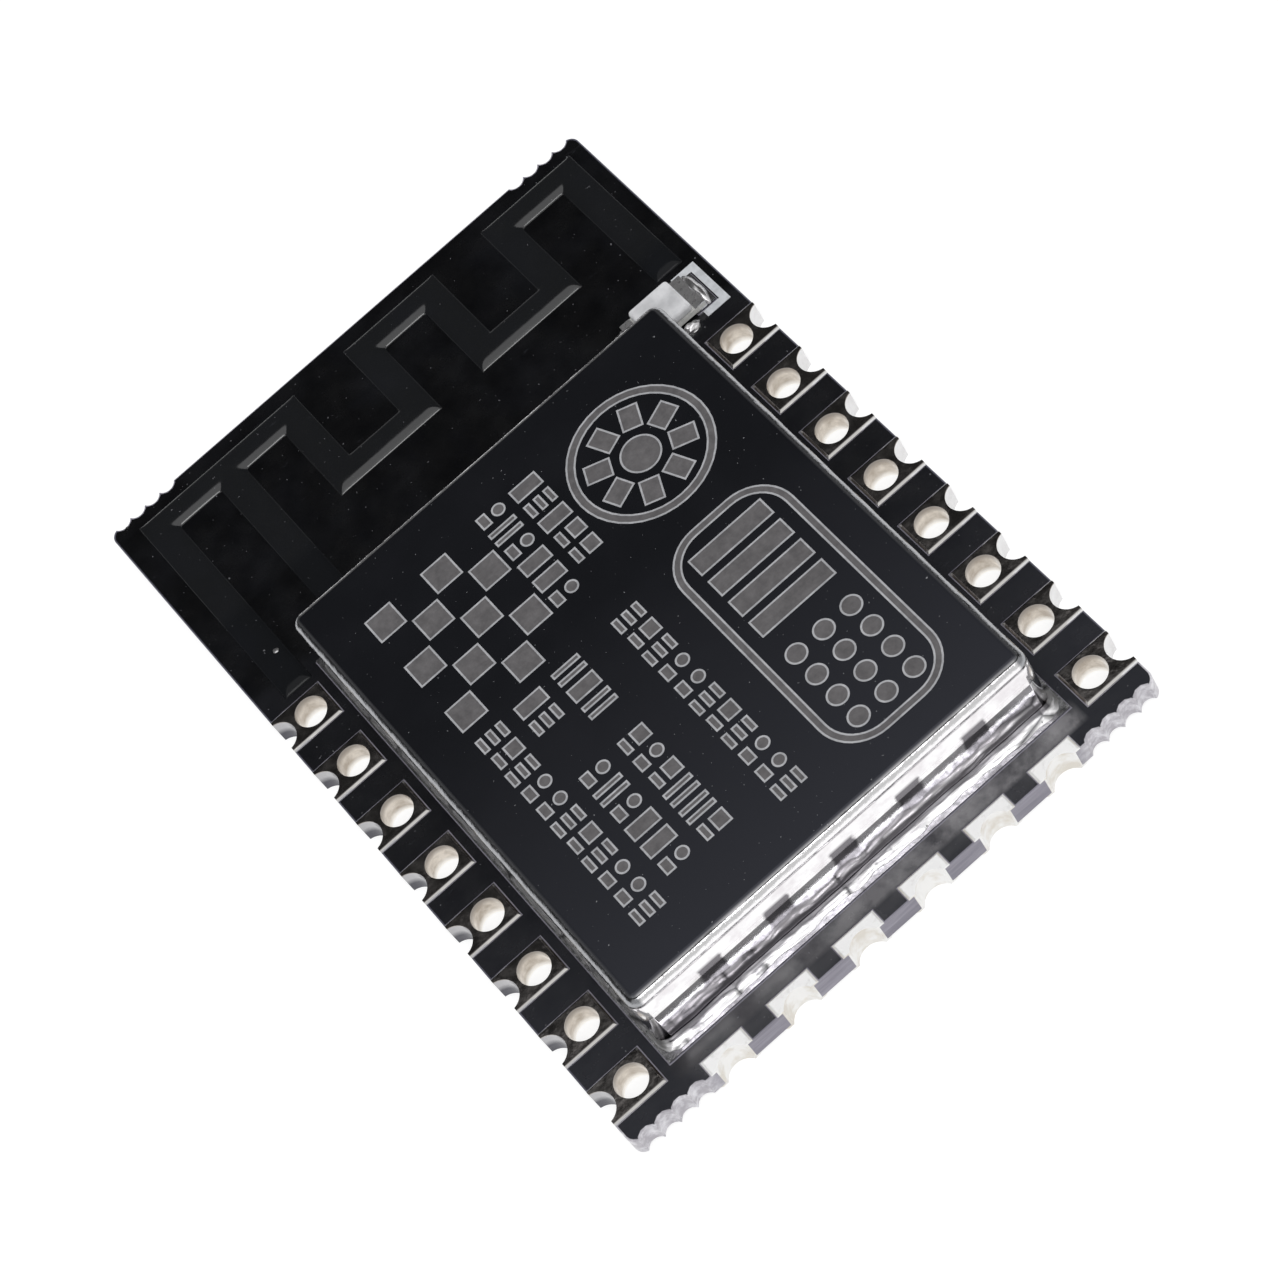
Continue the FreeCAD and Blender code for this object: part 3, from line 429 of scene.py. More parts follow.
def seam_finish():
    """Hand-run solder: white where it flowed, with painted shade in its creases and pits, grey scum
    between the runs, and painted shade where it meets the can's front wall.
    """
    f = Finish("seam_solder", metallic=1.0, roughness=0.34)
    # painted shade in the creases, which are also bumped
    crease_with_painted_shade = f.ramp(f.cracks(0.6), 0.0, 0.06)
    crease_with_painted_shade = f.math("MAXIMUM", crease_with_painted_shade, f.ramp(f.noise(0.9, 2.0), 0.46, 0.52))
    scum = f.ramp(f.noise(1.1, 4.0, 0.6), 0.58, 0.66)
    tone = f.blend(scum, (0.93, 0.92, 0.93), (0.40, 0.395, 0.41))
    # painted shade: small dark pits
    painted_pit_shade = f.ramp(f.noise(6.0, 3.0, 0.6), 0.67, 0.70)
    tone = f.blend(painted_pit_shade, tone, (0.16, 0.155, 0.165))
    tone = f.blend(crease_with_painted_shade, (0.12, 0.12, 0.125), tone)
    # painted shade where the bead meets the can's front wall
    gap = f.product(f.span("Y", CAN_LOW.y - 0.16, CAN_LOW.y - 0.09), f.reach(5.9, 5.8),
                    f.span("Y", CAN_HIGH.y, CAN_LOW.y + 0.5))
    f.drive("Base Color", f.blend(gap, tone, (0.17, 0.165, 0.175)))
    f.bump(crease_with_painted_shade, 0.02, 0.5)
    f.bump(f.noise(1.8, 3.0, 0.5), 0.03, 0.35)
    return f.mat


def lid_painted_reflection_and_specks(f):
    """Rolled lid painted dark for the dark room that its metal mirrors: smeared, with painted sheen paler
    towards the pad end, and bright specks.
    """
    smear = f.ramp(f.noise(0.5, 5.0), 0.4, 0.75)
    # painted reflection: the lid's metal painted near black
    dark = f.blend(smear, (0.0145, 0.0155, 0.0195), (0.0195, 0.0205, 0.0255))
    # painted sheen: paler towards the pad end
    dark = f.blend(f.span("Y", -1.5, -10.4), dark, (0.047, 0.049, 0.061))
    specks = f.ramp(f.noise(11.0, 2.0), 0.735, 0.755)
    return f.blend(specks, dark, (0.42, 0.43, 0.45))


def painted_web_reflection(f):
    """Painted reflections: uneven dark patches on the front wall, one above each web of board between the
    end pads.
    """
    from_web = f.math("PINGPONG", f.axis("X"), PAD_PITCH / 2 * MM)
    from_web = f.math("ADD", from_web, f.math("MULTIPLY", f.noise(3.0, 4.0, 0.6), 0.3 * MM))
    across = f.ramp(from_web, PATCH_HALF * MM, (PATCH_HALF - 0.08) * MM)
    across = f.product(across, f.reach(PATCH_SIDE, PATCH_SIDE - 0.1))
    upwards = f.product(f.span("Z", PATCH_TOP, PATCH_TOP - 0.12),
                        f.span("Z", PATCH_FOOT, PATCH_FOOT + 0.1))
    return f.product(across, upwards, f.span("Y", CAN_LOW.y + 0.2, CAN_LOW.y + 0.1))


def can_wall_tone(f):
    """White wall with a painted reflection of the dark strip above its solder, a painted dark line under
    the bend and painted dark reflections of the webs in front.
    """
    wall = f.blend(f.ramp(f.noise(1.5, 5.0, 0.65), 0.46, 0.62), (0.98, 0.97, 0.98), (0.84, 0.81, 0.83))
    below = f.span("Z", REFLECTION_TOP, REFLECTION_TOP - 0.12)
    # painted reflection of the dark mask strip, stronger towards -X
    strip_reflection = f.product(below, f.remap(f.span("X", -5.0, 4.0), 1.0, 0.35))
    strip_reflection = f.math("MAXIMUM", strip_reflection, f.product(below, f.span("Z", REFLECTION_FOOT, REFLECTION_FOOT + 0.15)))
    wall = f.blend(strip_reflection, wall, (0.36, 0.345, 0.37))
    # painted shade: a dark line at the crease under the bend
    crease_with_painted_shade = f.product(f.span("Z", BEND_LEVEL - 0.07, BEND_LEVEL - 0.02),
                       f.span("Z", BEND_LEVEL + 0.05, BEND_LEVEL))
    wall = f.blend(crease_with_painted_shade, wall, (0.58, 0.56, 0.58))
    # painted reflection: dark patches of the webs
    return f.blend(painted_web_reflection(f), wall, (0.20, 0.19, 0.205))


def can_finish():
    """Rolled sheet: a lid painted dark, bright front bends and side bends painted darker, dented and
    flecked, a painted light band on the upper wall, and a wall with painted reflections.
    """
    f = Finish("can_sheet_metal")
    lid = f.span("Z", LID_LEVEL - 0.045, LID_LEVEL - 0.006)
    bend = f.span("Z", BEND_LEVEL - 0.02, BEND_LEVEL + 0.05)
    # painted shade: the side bends darker than the front ones
    bright = f.blend(f.reach(5.66, 5.74), (0.90, 0.89, 0.90), (0.34, 0.345, 0.36))
    tone = f.blend(bend, can_wall_tone(f), bright)
    f.drive("Base Color", f.blend(lid, tone, lid_painted_reflection_and_specks(f)))
    # painted light: the upper wall made less metallic, so that it shows paler
    painted_light_band = f.product(f.span("Z", 1.95, 2.2), f.remap(bend, 1.0, 0.0))
    painted_diffuse_share = f.math("ADD", f.remap(lid, 0.0, 0.5), f.remap(painted_light_band, 0.0, 0.3))
    f.drive("Metallic", f.math("SUBTRACT", 1.0, painted_diffuse_share))
    f.drive("Roughness", f.remap(lid, 0.08, 0.2))
    # tilt the shading of the upper wall, as if it leaned out towards its foot
    f.bump(f.span("Z", 2.75, 2.02), 0.13)
    dents = f.product(f.remap(f.math("SUBTRACT", bend, lid), 0.12, 1.0), f.remap(lid, 1.0, 0.02))
    f.bump(f.product(f.noise(9.0, 4.0, 0.7), dents), 0.02, 0.55)
    f.bump(f.product(f.noise(1.1, 3.0), dents), 0.10, 0.6)
    return f.mat


def mark_finish(name, dark, light):
    """Laser-dulled metal: grey, matt and slightly mottled."""
    f = Finish(name, metallic=0.3, roughness=0.5)
    f.drive("Base Color", f.blend(f.ramp(f.noise(3.5, 6.0, 0.7), 0.35, 0.7), dark, light))
    f.bump(f.noise(14.0, 3.0), 0.006, 0.5)
    return f.mat


def resin_finish():
    """Milky lamp resin."""
    f = Finish("milky_resin", roughness=0.2)
    f.set("Subsurface Weight", 0.3)
    f.set("Subsurface Radius", (0.0003, 0.0003, 0.0003))
    cloud = f.ramp(f.noise(1.6, 4.0), 0.35, 0.7)
    f.drive("Base Color", f.blend(cloud, (0.55, 0.555, 0.57), (0.82, 0.82, 0.84)))
    f.bump(f.noise(3.0, 3.0), 0.04, 0.5)
    return f.mat


def plain_finish(name, base, roughness=0.5, metallic=0.0, per_mm=4.0, depth=0.01):
    """A quiet finish with slight mottling and grain, for ink and for moulded or fired bodies."""
    f = Finish(name, metallic=metallic, roughness=roughness)
    grain = f.noise(per_mm, 5.0, 0.6)
    dark = tuple(0.8 * c for c in base)
    light = tuple(min(1.0, 1.15 * c) for c in base)
    f.drive("Base Color", f.blend(f.ramp(grain, 0.35, 0.7), dark, light))
    f.bump(grain, depth, 0.5)
    return f.mat


MASK = mask_finish("black_solder_mask", (0.0012, 0.0013, 0.0019), (0.0065, 0.0068, 0.0088))
MASK_RIDGE = mask_finish("black_mask_over_copper", (0.0085, 0.0092, 0.0105), (0.0085, 0.0092, 0.0105),
                         shiny=0.10, dull=0.18, gloss=1.0, low_gloss=0.15)
LAMINATE = laminate_finish()
SIDE_PAD = side_pad_finish()
END_PAD = end_pad_finish()
TIN = tin_finish("tinned_metal", (0.72, 0.72, 0.74))
SOLDER = tin_finish("solder_metal", (0.90, 0.89, 0.90), dull=0.6, smooth=0.26, rough=0.42)
SEAM = seam_finish()
CAN = can_finish()
MARK_FIELD = mark_finish("mark_grey", (0.118, 0.113, 0.117), (0.19, 0.182, 0.187))
MARK_EDGE = mark_finish("mark_edge_grey", (0.40, 0.405, 0.425), (0.62, 0.625, 0.65))
RESIN = resin_finish()
GLASS = plain_finish("snapped_glass_fibre", (0.80, 0.79, 0.83), 0.3, per_mm=8.0, depth=0.03)
INK = plain_finish("pale_ink", (0.62, 0.64, 0.67), 0.5)
LAMP_BOARD = plain_finish("lamp_substrate", (0.62, 0.62, 0.60), 0.5)
COPPER = plain_finish("copper", (0.72, 0.45, 0.32), 0.3, metallic=1.0)
MOULD = plain_finish("chip_moulding", (0.018, 0.018, 0.02), 0.55, per_mm=12.0)
CERAMIC = plain_finish("grey_ceramic", (0.23, 0.22, 0.21), 0.5)
CAPACITOR = plain_finish("tan_ceramic", (0.34, 0.22, 0.12), 0.45)
OVERCOAT = plain_finish("black_overcoat", (0.02, 0.02, 0.02), 0.4)

NODE_FINISH = {
    "laminate": LAMINATE, "solder_mask_top": MASK, "solder_mask_bottom": MASK, "antenna_trace": COPPER,
    "shield_land": TIN, "shield_can": CAN, "shield_solder": SEAM,
    "lamp_lands": TIN, "lamp_base": LAMP_BOARD, "lamp_terminals": SOLDER, "lamp_lens": RESIN,
    "lamp_solder": SOLDER, "ink_bracket": INK,
    "component_lands": TIN, "radio_chip": MOULD, "flash_chip": MOULD, "flash_leads": TIN,
    "crystal_tub": CERAMIC, "crystal_lid": TIN,
    "capacitors": CAPACITOR, "resistors": OVERCOAT, "inductors": CERAMIC, "small_part_ends": TIN,
}


def dress_nodes():
    """Give every solid of the frame its finish. The edge pads on the short end are the pale ones."""
    for name, node in NODES.items():
        finish = NODE_FINISH.get(name)
        if name.startswith("pad_"):
            on_short_end = frame_box(name)[0].y < BOARD_LOW.y + 0.1
            finish = END_PAD if on_short_end else SIDE_PAD
        node.data.materials.clear()
        node.data.materials.append(finish)


# Shield can with smooth bends

def shield_cover():
    """The can again, with finely rounded corners and bends, open below."""
    bm = bmesh.new()
    add_block(bm, CAN_LOW, Vector((CAN_HIGH.x, CAN_HIGH.y, LID_LEVEL)))
    bmesh.ops.bevel(bm, geom=[e for e in bm.edges if is_upright(e)], offset=CAN_CORNER,
                    offset_type="OFFSET", segments=8, profile=0.5, affect="EDGES", material=-1)
    rim = [e for e in bm.edges if all(v.co.z > LID_LEVEL - NEAR for v in e.verts)]
    bmesh.ops.bevel(bm, geom=rim, offset=CAN_BEND, offset_type="OFFSET", segments=10,
                    profile=0.5, affect="EDGES", material=-1)
    floor = [f for f in bm.faces if all(v.co.z < CAN_LOW.z + NEAR for v in f.verts)]
    bmesh.ops.delete(bm, geom=floor, context="FACES_ONLY")
    bmesh.ops.recalc_face_normals(bm, faces=bm.faces)
    piece = finish_piece(bm, "shield_cover", CAN)
    wall = piece.modifiers.new("sheet", "SOLIDIFY")
    wall.thickness = CAN_SHEET * MM
    wall.offset = -1.0
    piece.modifiers.new("even_shading", "WEIGHTED_NORMAL").keep_sharp = True
    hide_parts("shield_can")


# Solder round the can's foot

CAN_CORNERS = ((1, 1), (-1, 1), (-1, -1), (1, -1))


def can_outline(share):
    """A point of the can's rounded outline and the way outwards there, for a share of the way round."""
    middle = (CAN_LOW + CAN_HIGH) / 2
    half = (CAN_HIGH - CAN_LOW) / 2 - Vector((CAN_CORNER, CAN_CORNER, 0))
    arc = CAN_CORNER * math.pi / 2
    lengths = [2 * half.y, arc, 2 * half.x, arc] * 2
    way = share * sum(lengths)
    step = 0
    while step < len(lengths) - 1 and way > lengths[step]:
        way -= lengths[step]
        step += 1
    quarter, bending = divmod(step, 2)
    sign_x, sign_y = CAN_CORNERS[quarter if bending else quarter - 1]
    corner = Vector((middle.x + sign_x * half.x, middle.y + sign_y * half.y, 0))
    angle = quarter * math.pi / 2 + (way / CAN_CORNER if bending else 0.0)
    outward = Vector((math.cos(angle), math.sin(angle), 0))
    point = corner + outward * CAN_CORNER
    if not bending:
        point += Vector((-outward.y, outward.x, 0)) * way
    return point, outward


def bead_section(across, reach, rise, lump):
    """Up the wall, down the slope and back under: distance out and height for a share of the way."""
    up, under = 0.12, 0.88
    if across < up:
        return 0.0, rise * across / up
    if across > under:
        return reach * (1 - across) / (1 - under), 0.0
    turn = (across - up) / (under - up) * math.pi / 2
    hollow, full = 0.55, 0.45
    away = reach * (hollow * (1 - math.cos(turn)) + full * math.sin(turn))
    height = rise * (hollow * (1 - math.sin(turn)) + full * math.cos(turn))
    return away, max(0.0, height + lump * math.sin(2 * turn))


def solder_seam():
    """The bead round the can: a grid wrapped round the can's outline and across the bead's section."""
    bm = bmesh.new()
    bmesh.ops.create_grid(bm, x_segments=SEAM_ROUND, y_segments=SEAM_ACROSS, size=0.5)
    for v in bm.verts:
        point, outward = can_outline(v.co.x + 0.5)
        front = max(0.0, -outward.y) ** 2
        swell = noise.noise(point * 0.8) + 0.6 * noise.noise(point * 2.3)
        reach = (SOLDER_SIDE + (SOLDER_FRONT - SOLDER_SIDE) * front) * min(1.0, 0.85 + 0.3 * swell)
        uneven = min(1.15, 0.85 + 0.45 * noise.noise(point * 1.3 + outward))
        rise = SOLDER_RISE * (0.6 + 0.4 * front) * uneven
        lump = SOLDER_LUMP * noise.noise(Vector((point.x * 3, point.y * 3, 9 * v.co.y)))
        away, height = bead_section(v.co.y + 0.5, reach, rise, lump)
        v.co = point + outward * away + Vector((0, 0, LAND_TOP + height))
    bmesh.ops.remove_doubles(bm, verts=bm.verts, dist=NEAR)
    bmesh.ops.recalc_face_normals(bm, faces=bm.faces)
    piece = finish_piece(bm, "solder_seam", SEAM)
    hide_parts("shield_solder")


# Dulled marks on the lid, all of plain shapes

# Rows of blocks: middle line along X, start and end along Y
MARK_ROWS = [
    (0.48, 2.75, -0.5), (-0.6, 2.8, -1.2), (0.08, -2.2, -9.1), (-1.8, -2.2, -4.2),
    (-1.8, -4.9, -8.8), (-2.98, -2.2, -3.6), (-2.98, -4.9, -8.9), (-4.2, -2.2, -9.5),
]
ROW_STEP = 0.64

# Kinds of block in a row: offset across and along it, width and length of each bar
BLOCK_KINDS = (
    ((0.0, 0.0, 0.84, 0.46),),
    ((0.0, -0.15, 0.84, 0.17), (0.0, 0.15, 0.84, 0.17)),
    ((-0.24, 0.0, 0.3, 0.42),),
    ((0.2, 0.0, 0.44, 0.46), (-0.26, 0.0, 0.22, 0.46)),
    ((-0.31, 0.0, 0.2, 0.46), (0.0, 0.0, 0.2, 0.46), (0.31, 0.0, 0.2, 0.46)),
)
DOTTED_KIND = 2
BLOCK_DOT_OFFSET = 0.22
BLOCK_DOT_RADIUS = 0.19

DIAL_MIDDLE = (3.05, 0.9)
DIAL_RADIUS = 1.95
DIAL_LINE = 0.26
DIAL_HUB = 0.55
DIAL_SEGMENTS = 8
DIAL_REACH = 1.13
DIAL_BLOCK = (0.72, 0.56)

GRID_CORNER = (-4.7, -1.9)
GRID_CELL = 0.9
GRID_SQUARE = 0.82
GRID_COLUMNS = 4
GRID_ROWS = 5

PANEL_LOW = (1.4, -9.6)
PANEL_HIGH = (4.9, -1.8)
PANEL_CORNER = 1.2
PANEL_LINE = 0.24
PANEL_BARS = 4
BAR_SIZE = (2.3, 0.6)
BAR_INSET = 0.92
BAR_STEP = 0.82
DOT_COLUMNS = 3
DOT_ROWS = 4
DOT_RADIUS = 0.29
DOT_INSET = 0.72
DOT_STEP = (0.85, 0.8)


def add_bar(bm, x, y, length, width, turn=0.0):
    """A flat rectangle."""
    made = bmesh.ops.create_grid(bm, x_segments=1, y_segments=1, size=0.5)["verts"]
    bmesh.ops.scale(bm, vec=(length, width, 1), verts=made)
    bmesh.ops.rotate(bm, verts=made, cent=(0, 0, 0), matrix=Matrix.Rotation(turn, 3, "Z"))
    bmesh.ops.translate(bm, vec=(x, y, 0), verts=made)
    return made


def add_dot(bm, x, y, radius):
    """A flat disc."""
    made = bmesh.ops.create_circle(bm, cap_ends=True, segments=40, radius=radius)["verts"]
    bmesh.ops.translate(bm, vec=(x, y, 0), verts=made)
    return made


def hollow_out(bm, faces, line):
    """Leave only an outline of the given width."""
    bmesh.ops.inset_region(bm, faces=faces, thickness=line, use_boundary=True, use_even_offset=True)
    bmesh.ops.delete(bm, geom=faces, context="FACES")


def add_dial(bm):
    """A ring, a disc and blocks between them."""
    x, y = DIAL_MIDDLE
    ring = add_dot(bm, x, y, DIAL_RADIUS)
    hollow_out(bm, ring[0].link_faces[:], DIAL_LINE)
    add_dot(bm, x, y, DIAL_HUB)
    for k in range(DIAL_SEGMENTS):
        angle = 2 * math.pi * (k + 0.5) / DIAL_SEGMENTS
        across, along = DIAL_REACH * math.cos(angle), DIAL_REACH * math.sin(angle)
        add_bar(bm, x + across, y + along, *DIAL_BLOCK, angle)


def add_chequer(bm):
    """Every other square of a grid."""
    for i in range(GRID_COLUMNS):
        for j in range(GRID_ROWS):
            if (i + j) % 2 == 0:
                x = GRID_CORNER[0] + (i + 0.5) * GRID_CELL
                y = GRID_CORNER[1] + (j + 0.5) * GRID_CELL
                add_bar(bm, x, y, GRID_SQUARE, GRID_SQUARE)


def add_panel(bm):
    """A long frame with round corners, half of it filled by bars and half by dots."""
    x = (PANEL_LOW[0] + PANEL_HIGH[0]) / 2
    y = (PANEL_LOW[1] + PANEL_HIGH[1]) / 2
    corners = add_bar(bm, x, y, PANEL_HIGH[0] - PANEL_LOW[0], PANEL_HIGH[1] - PANEL_LOW[1])
    plate = bmesh.ops.bevel(bm, geom=corners, offset=PANEL_CORNER, offset_type="OFFSET", segments=10,
                            profile=0.5, affect="VERTICES", material=-1)
    hollow_out(bm, list({f for v in plate["verts"] for f in v.link_faces}), PANEL_LINE)
    for k in range(PANEL_BARS):
        add_bar(bm, x, PANEL_HIGH[1] - BAR_INSET - BAR_STEP * k, *BAR_SIZE)
    for i in range(DOT_COLUMNS):
        for j in range(DOT_ROWS):
            across = (i - (DOT_COLUMNS - 1) / 2) * DOT_STEP[0]
            add_dot(bm, x + across, y - DOT_INSET - DOT_STEP[1] * j, DOT_RADIUS)


def add_row(bm, x, start, end, number):
    """Blocks of every kind in turn, along one line of the lid."""
    count = int((start - end) / ROW_STEP + 0.5)
    for k in range(count):
        y = start - (k + 0.5) * ROW_STEP
        kind = (3 * k + 2 * number + k * k) % len(BLOCK_KINDS)
        if kind == DOTTED_KIND:
            add_dot(bm, x + BLOCK_DOT_OFFSET, y, BLOCK_DOT_RADIUS)
        for across, along, width, length in BLOCK_KINDS[kind]:
            add_bar(bm, x + across, y + along, width, length)


def lid_marks():
    """Every mark as flat faces, raised once whole for the pale rim and once set in for the field."""
    flat = bmesh.new()
    add_dial(flat)
    add_chequer(flat)
    add_panel(flat)
    for number, (x, start, end) in enumerate(MARK_ROWS):
        add_row(flat, x, start, end, number)
    fields = flat.copy()
    inset = bmesh.ops.inset_region(fields, faces=fields.faces[:], thickness=MARK_RIM, use_boundary=True,
                                   use_even_offset=True)
    bmesh.ops.delete(fields, geom=inset["faces"], context="FACES")
    for bm, name, rise, mat in ((flat, "lid_mark_rims", RIM_RISE, MARK_EDGE),
                                (fields, "lid_mark_fields", FIELD_RISE, MARK_FIELD)):
        bmesh.ops.recalc_face_normals(bm, faces=bm.faces)
        bmesh.ops.translate(bm, vec=(0, 0, LID_LEVEL), verts=bm.verts)
        bmesh.ops.solidify(bm, geom=bm.faces[:], thickness=-rise)
        bmesh.ops.recalc_face_normals(bm, faces=bm.faces)
        finish_piece(bm, name, mat, smooth=False)


# Solder mask where it rides over the antenna's copper

def antenna_runs():
    """Middle lines of the track's straight runs: lowest and highest X, lowest and highest Y."""
    half = TRACE_WIDTH / 2
    first, last = TRACE_LOW.x + half, TRACE_HIGH.x - half
    low_turn = (last - first - 4 * TOP_TURN) / 2
    top = TRACE_HIGH.y - half
    low = top - MEANDER_DEPTH
    steps = (TOP_TURN, TOP_TURN, low_turn, TOP_TURN, low_turn, TOP_TURN)
    legs = [first]
    for step in steps:
        legs.append(legs[-1] + step)
    ends = [TRACE_LOW.y + half, FEED_LOW + half, low, low, low, low, TAIL_LOW + half]
    runs = [(x, x, end, top) for x, end in zip(legs, ends)]
    levels = (top, top, low, top, low, top)
    runs += [(legs[k], legs[k + 1], level, level) for k, level in enumerate(levels)]
    return runs


def antenna_ridge():
    """A sheet of fine cells, domed over the track and cut away elsewhere."""
    bm = bmesh.new()
    low = TRACE_LOW - Vector((RIDGE_REACH, RIDGE_REACH, 0))
    high = TRACE_HIGH + Vector((RIDGE_REACH, RIDGE_REACH, 0))
    size = high - low
    columns, rows = int(size.x / RIDGE_CELL), int(size.y / RIDGE_CELL)
    bmesh.ops.create_grid(bm, x_segments=columns, y_segments=rows, size=0.5)
    bmesh.ops.scale(bm, vec=(size.x, size.y, 1), verts=bm.verts)
    bmesh.ops.translate(bm, vec=((low.x + high.x) / 2, (low.y + high.y) / 2, 0), verts=bm.verts)
    runs = antenna_runs()
    away = []
    for v in bm.verts:
        x, y = v.co.x, v.co.y
        gap = min(max(x0 - x, x - x1, y0 - y, y - y1) for x0, x1, y0, y1 in runs)
        share = gap / RIDGE_REACH
        if share > RIDGE_CUT:
            away.append(v)
        wave = RIDGE_WAVE * noise.noise(Vector((x, y, 0)) * 0.9)
        dome = (RIDGE_CROWN + wave) * (1 - max(0.0, share) ** RIDGE_STEEPNESS)
        v.co.z = MASK_TOP - RIDGE_SUNK + max(-RIDGE_SHEET, dome)
    bmesh.ops.delete(bm, geom=away, context="VERTS")
    bmesh.ops.recalc_face_normals(bm, faces=bm.faces)
    bmesh.ops.solidify(bm, geom=bm.faces[:], thickness=RIDGE_SHEET)
    bmesh.ops.recalc_face_normals(bm, faces=bm.faces)
    finish_piece(bm, "antenna_ridge", MASK_RIDGE)


# Lamp, stray solder and what is left between the break-off bites

def lamp_block():
    """The milky block over the lamp's die, softly rounded."""
    bm = bmesh.new()
    add_block(bm, LENS_LOW, LENS_HIGH)
    bmesh.ops.bevel(bm, geom=bm.edges[:], offset=LENS_ROUND, offset_type="OFFSET", segments=5,
                    profile=0.5, affect="EDGES", material=-1)
    piece = finish_piece(bm, "lamp_block", RESIN)
    piece.modifiers.new("even_shading", "WEIGHTED_NORMAL").keep_sharp = True
    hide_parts("lamp_lens")


def lamp_fillets():
    """Uneven solder at both ends of the lamp."""
    bm = bmesh.new()
    middle = (LAMP_LOW.y + LAMP_HIGH.y) / 2
    half = (LAMP_HIGH.y - LAMP_LOW.y) / 2
    for x, seed in ((LAMP_LOW.x + FILLET_INSET, 3.0), (LAMP_HIGH.x - FILLET_INSET, 8.0)):
        add_lump(bm, (x, middle, LAND_TOP), (FILLET_REACH, half, FILLET_RISE), seed, 0.12)
    piece = finish_piece(bm, "lamp_fillets", SOLDER)
    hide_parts("lamp_solder")


def stray_solder():
    """Drops of solder between the lamp and the can, and on the ground hole beside the antenna."""
    bm = bmesh.new()
    for x, y, height, size, seed, roughness in DROPS:
        add_lump(bm, (x, y, MASK_TOP + height), size, seed, roughness)
    finish_piece(bm, "stray_solder", SOLDER)


def snapped_stubs():
    """Torn fibre on the points between the break-off bites."""
    bm = bmesh.new()
    for side in (-1, 1):
        for k in range(BITE_COUNT + 1):
            x = side * (BOARD_HIGH.x - BITE_INSET - (k - 0.5) * BITE_PITCH)
            x = max(BOARD_LOW.x + STUB_INSET, min(BOARD_HIGH.x - STUB_INSET, x))
            seed = 11.0 + 3 * k + side
            foot = (x, BOARD_LOW.y + STUB_INSET, BOARD_LOW.z + STUB_FOOT)
            width = STUB_SIZE[0] + STUB_SPREAD * noise.noise(Vector((seed, 0, 0)))
            add_lump(bm, foot, (width, *STUB_SIZE[1:]), seed, 0.3)
    finish_piece(bm, "snapped_stubs", GLASS)


def shallow_stubs():
    """Dark web left in the bites at the antenna end, which broke away less deep."""
    bm = bmesh.new()
    for side in (-1, 1):
        for k in range(BITE_COUNT):
            x = side * (BOARD_HIGH.x - BITE_INSET - k * BITE_PITCH)
            foot = (x, BOARD_HIGH.y - WEB_INSET, BOARD_LOW.z + STUB_FOOT)
            add_lump(bm, foot, WEB_SIZE, 40.0 + k + side, 0.2)
    finish_piece(bm, "shallow_stubs", MASK)


# Camera, placed and turned as the photograph was taken

CAMERA_PLACE = Vector((-6.0645, -57.9300, 80.8279))
CAMERA_FORWARD = Vector((0.06252, 0.57404, -0.81644)).normalized()
CAMERA_UP = Vector((0.65953, 0.59021, 0.46548))
CAMERA_LENS = 114.04


def add_camera():
    data = bpy.data.cameras.new("camera")
    data.lens = CAMERA_LENS
    data.clip_start = 1 * MM
    data.clip_end = 2000 * MM
    camera = bpy.data.objects.new("camera", data)
    bpy.context.scene.collection.objects.link(camera)
    right = CAMERA_FORWARD.cross(CAMERA_UP).normalized()
    up = right.cross(CAMERA_FORWARD)
    turn = Matrix((right, up, -CAMERA_FORWARD)).transposed()
    camera.matrix_world = Matrix.Translation(CAMERA_PLACE * MM) @ turn.to_4x4()
    bpy.context.scene.camera = camera


# Floor, world and softbox

FLOOR_REACH = 600
FLOOR_GAP = 0.002
FLOOR_GLOW = 0.78
PAPER = 0.8
FAINT_PAPER = 0.35
EVEN_LIGHT = 0.95
GLOSS_BACK = 0.04
GLOSS_CEILING = 1.0
GLOSS_FRONT = 0.75
GLOSS_HORIZON = 0.32


def new_tree(owner):
    owner.use_nodes = True
    owner.node_tree.nodes.clear()
    return owner.node_tree


def add_node(tree, kind, values=None, links=None, **fields):
    """A node with its fields, its fixed inputs and the outputs that feed it."""
    made = tree.nodes.new(kind)
    for key, value in fields.items():
        setattr(made, key, value)
    for socket, value in (values or {}).items():
        made.inputs[socket].default_value = value
    for socket, source in (links or {}).items():
        tree.links.new(source, made.inputs[socket])
    return made


def floor_finish():
    """Pale paper for the light, and white for what looks at it straight, by gloss or through glass."""
    mat = bpy.data.materials.new("pale_floor")
    tree = new_tree(mat)
    path = add_node(tree, "ShaderNodeLightPath").outputs
    seen = add_node(tree, "ShaderNodeMath", links={0: path["Is Camera Ray"], 1: path["Is Glossy Ray"]},
                    operation="MAXIMUM")
    seen = add_node(tree, "ShaderNodeMath", links={0: seen.outputs[0], 1: path["Is Transmission Ray"]},
                    operation="MAXIMUM")
    paper = add_node(tree, "ShaderNodeBsdfDiffuse", {"Color": (*[PAPER] * 3, 1)})
    faint = add_node(tree, "ShaderNodeBsdfDiffuse", {"Color": (*[FAINT_PAPER] * 3, 1)})
    glow = add_node(tree, "ShaderNodeEmission", {"Color": (1, 1, 1, 1), "Strength": FLOOR_GLOW})
    bright = add_node(tree, "ShaderNodeAddShader", links={0: faint.outputs[0], 1: glow.outputs[0]})
    mix = add_node(tree, "ShaderNodeMixShader", links={0: seen.outputs[0], 1: paper.outputs[0],
                                                       2: bright.outputs[0]})
    add_node(tree, "ShaderNodeOutputMaterial", links={"Surface": mix.outputs[0]})
    return mat


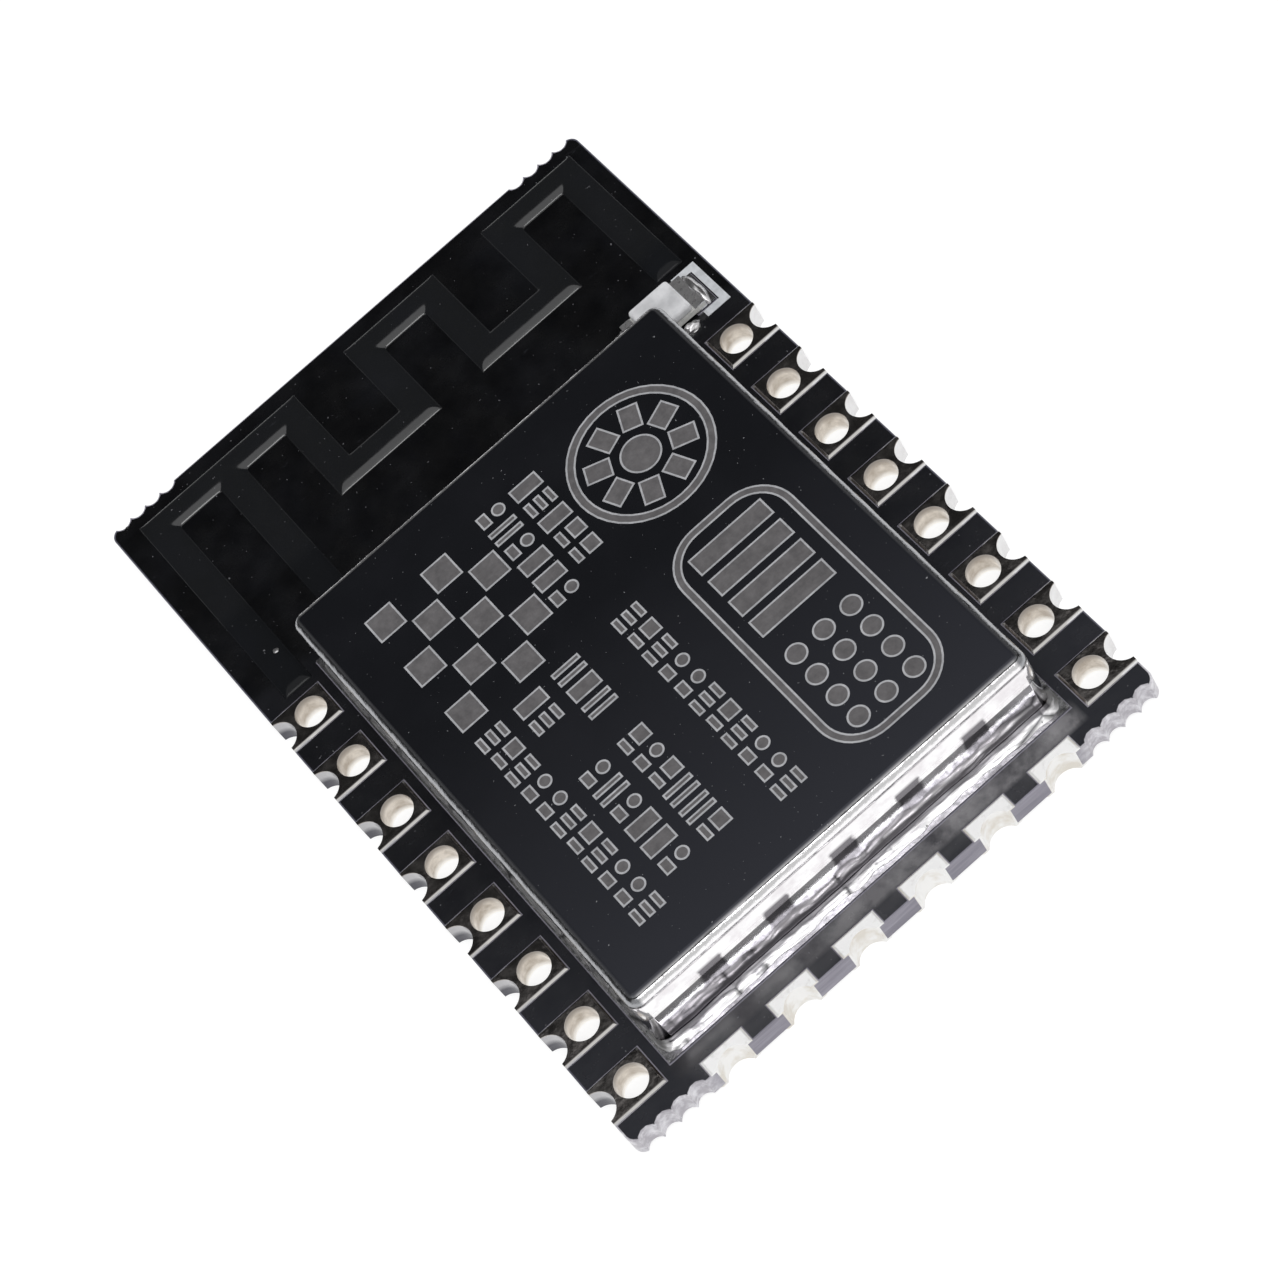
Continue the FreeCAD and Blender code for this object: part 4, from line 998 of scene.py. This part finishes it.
def add_floor():
    bm = bmesh.new()
    bmesh.ops.create_grid(bm, x_segments=1, y_segments=1, size=FLOOR_REACH)
    bmesh.ops.translate(bm, vec=(0, 0, -FLOOR_GAP), verts=bm.verts)
    bmesh.ops.scale(bm, vec=(MM, MM, MM), verts=bm.verts)
    mesh = bpy.data.meshes.new("floor")
    bm.to_mesh(mesh)
    bm.free()
    mesh.materials.append(floor_finish())
    floor = bpy.data.objects.new("floor", mesh)
    bpy.context.scene.collection.objects.link(floor)


def smooth_step(tree, source, low, high, start, end):
    """Map one span of a value onto another, with soft ends."""
    spans = {"From Min": low, "From Max": high, "To Min": start, "To Max": end}
    made = add_node(tree, "ShaderNodeMapRange", spans, {"Value": source})
    made.interpolation_type = "SMOOTHSTEP"
    return made.outputs["Result"]


def gloss_light(tree):
    """How bright the room looks in gloss: by direction, a bright ceiling and front, and a dark back."""
    way = add_node(tree, "ShaderNodeTexCoord").outputs["Generated"]
    axes = add_node(tree, "ShaderNodeSeparateXYZ", links={0: way}).outputs
    gloss = smooth_step(tree, axes["Z"], 0.86, 0.92, 0.0, GLOSS_CEILING)
    front = smooth_step(tree, axes["Y"], -0.35, 0.0, GLOSS_FRONT, 0.0)
    horizon = smooth_step(tree, axes["Z"], 0.02, 0.28, GLOSS_HORIZON, 0.0)
    for other in (front, horizon):
        brighter = add_node(tree, "ShaderNodeMath", links={0: gloss, 1: other}, operation="MAXIMUM")
        gloss = brighter.outputs[0]
    return add_node(tree, "ShaderNodeMath", {1: GLOSS_BACK}, {0: gloss}, operation="ADD").outputs[0]


def add_world():
    """White behind everything, even light all round, and a room of its own for gloss."""
    world = bpy.data.worlds.new("studio")
    bpy.context.scene.world = world
    tree = new_tree(world)
    path = add_node(tree, "ShaderNodeLightPath").outputs
    even = add_node(tree, "ShaderNodeBackground", {"Strength": EVEN_LIGHT})
    studio = add_node(tree, "ShaderNodeBackground", links={"Strength": gloss_light(tree)})
    white = add_node(tree, "ShaderNodeBackground", {"Color": (1, 1, 1, 1), "Strength": 1.0})
    mix = add_node(tree, "ShaderNodeMixShader", links={0: path["Is Glossy Ray"], 1: even.outputs[0],
                                                       2: studio.outputs[0]})
    mix = add_node(tree, "ShaderNodeMixShader", links={0: path["Is Camera Ray"], 1: mix.outputs[0],
                                                       2: white.outputs[0]})
    add_node(tree, "ShaderNodeOutputWorld", links={"Surface": mix.outputs[0]})


def add_softbox(name, direction, distance, side, watts):
    """A square soft light that faces the module."""
    data = bpy.data.lights.new(name, "AREA")
    data.shape = "SQUARE"
    data.size = side * MM
    data.energy = watts
    softbox = bpy.data.objects.new(name, data)
    bpy.context.scene.collection.objects.link(softbox)
    back = Vector(direction).normalized()
    softbox.location = (CAD_LOW + CAD_HIGH) / 2 + back * distance * MM
    softbox.rotation_mode = "QUATERNION"
    softbox.rotation_quaternion = (-back).to_track_quat("-Z", "Y")


dress_nodes()
shield_cover()
solder_seam()
lid_marks()
antenna_ridge()
lamp_block()
lamp_fillets()
stray_solder()
snapped_stubs()
shallow_stubs()
add_camera()
add_floor()
add_world()
add_softbox("front_softbox", direction=(-0.06, -0.50, 0.86), distance=220, side=100, watts=0.11)

bpy.context.scene.view_settings.view_transform = "Standard"
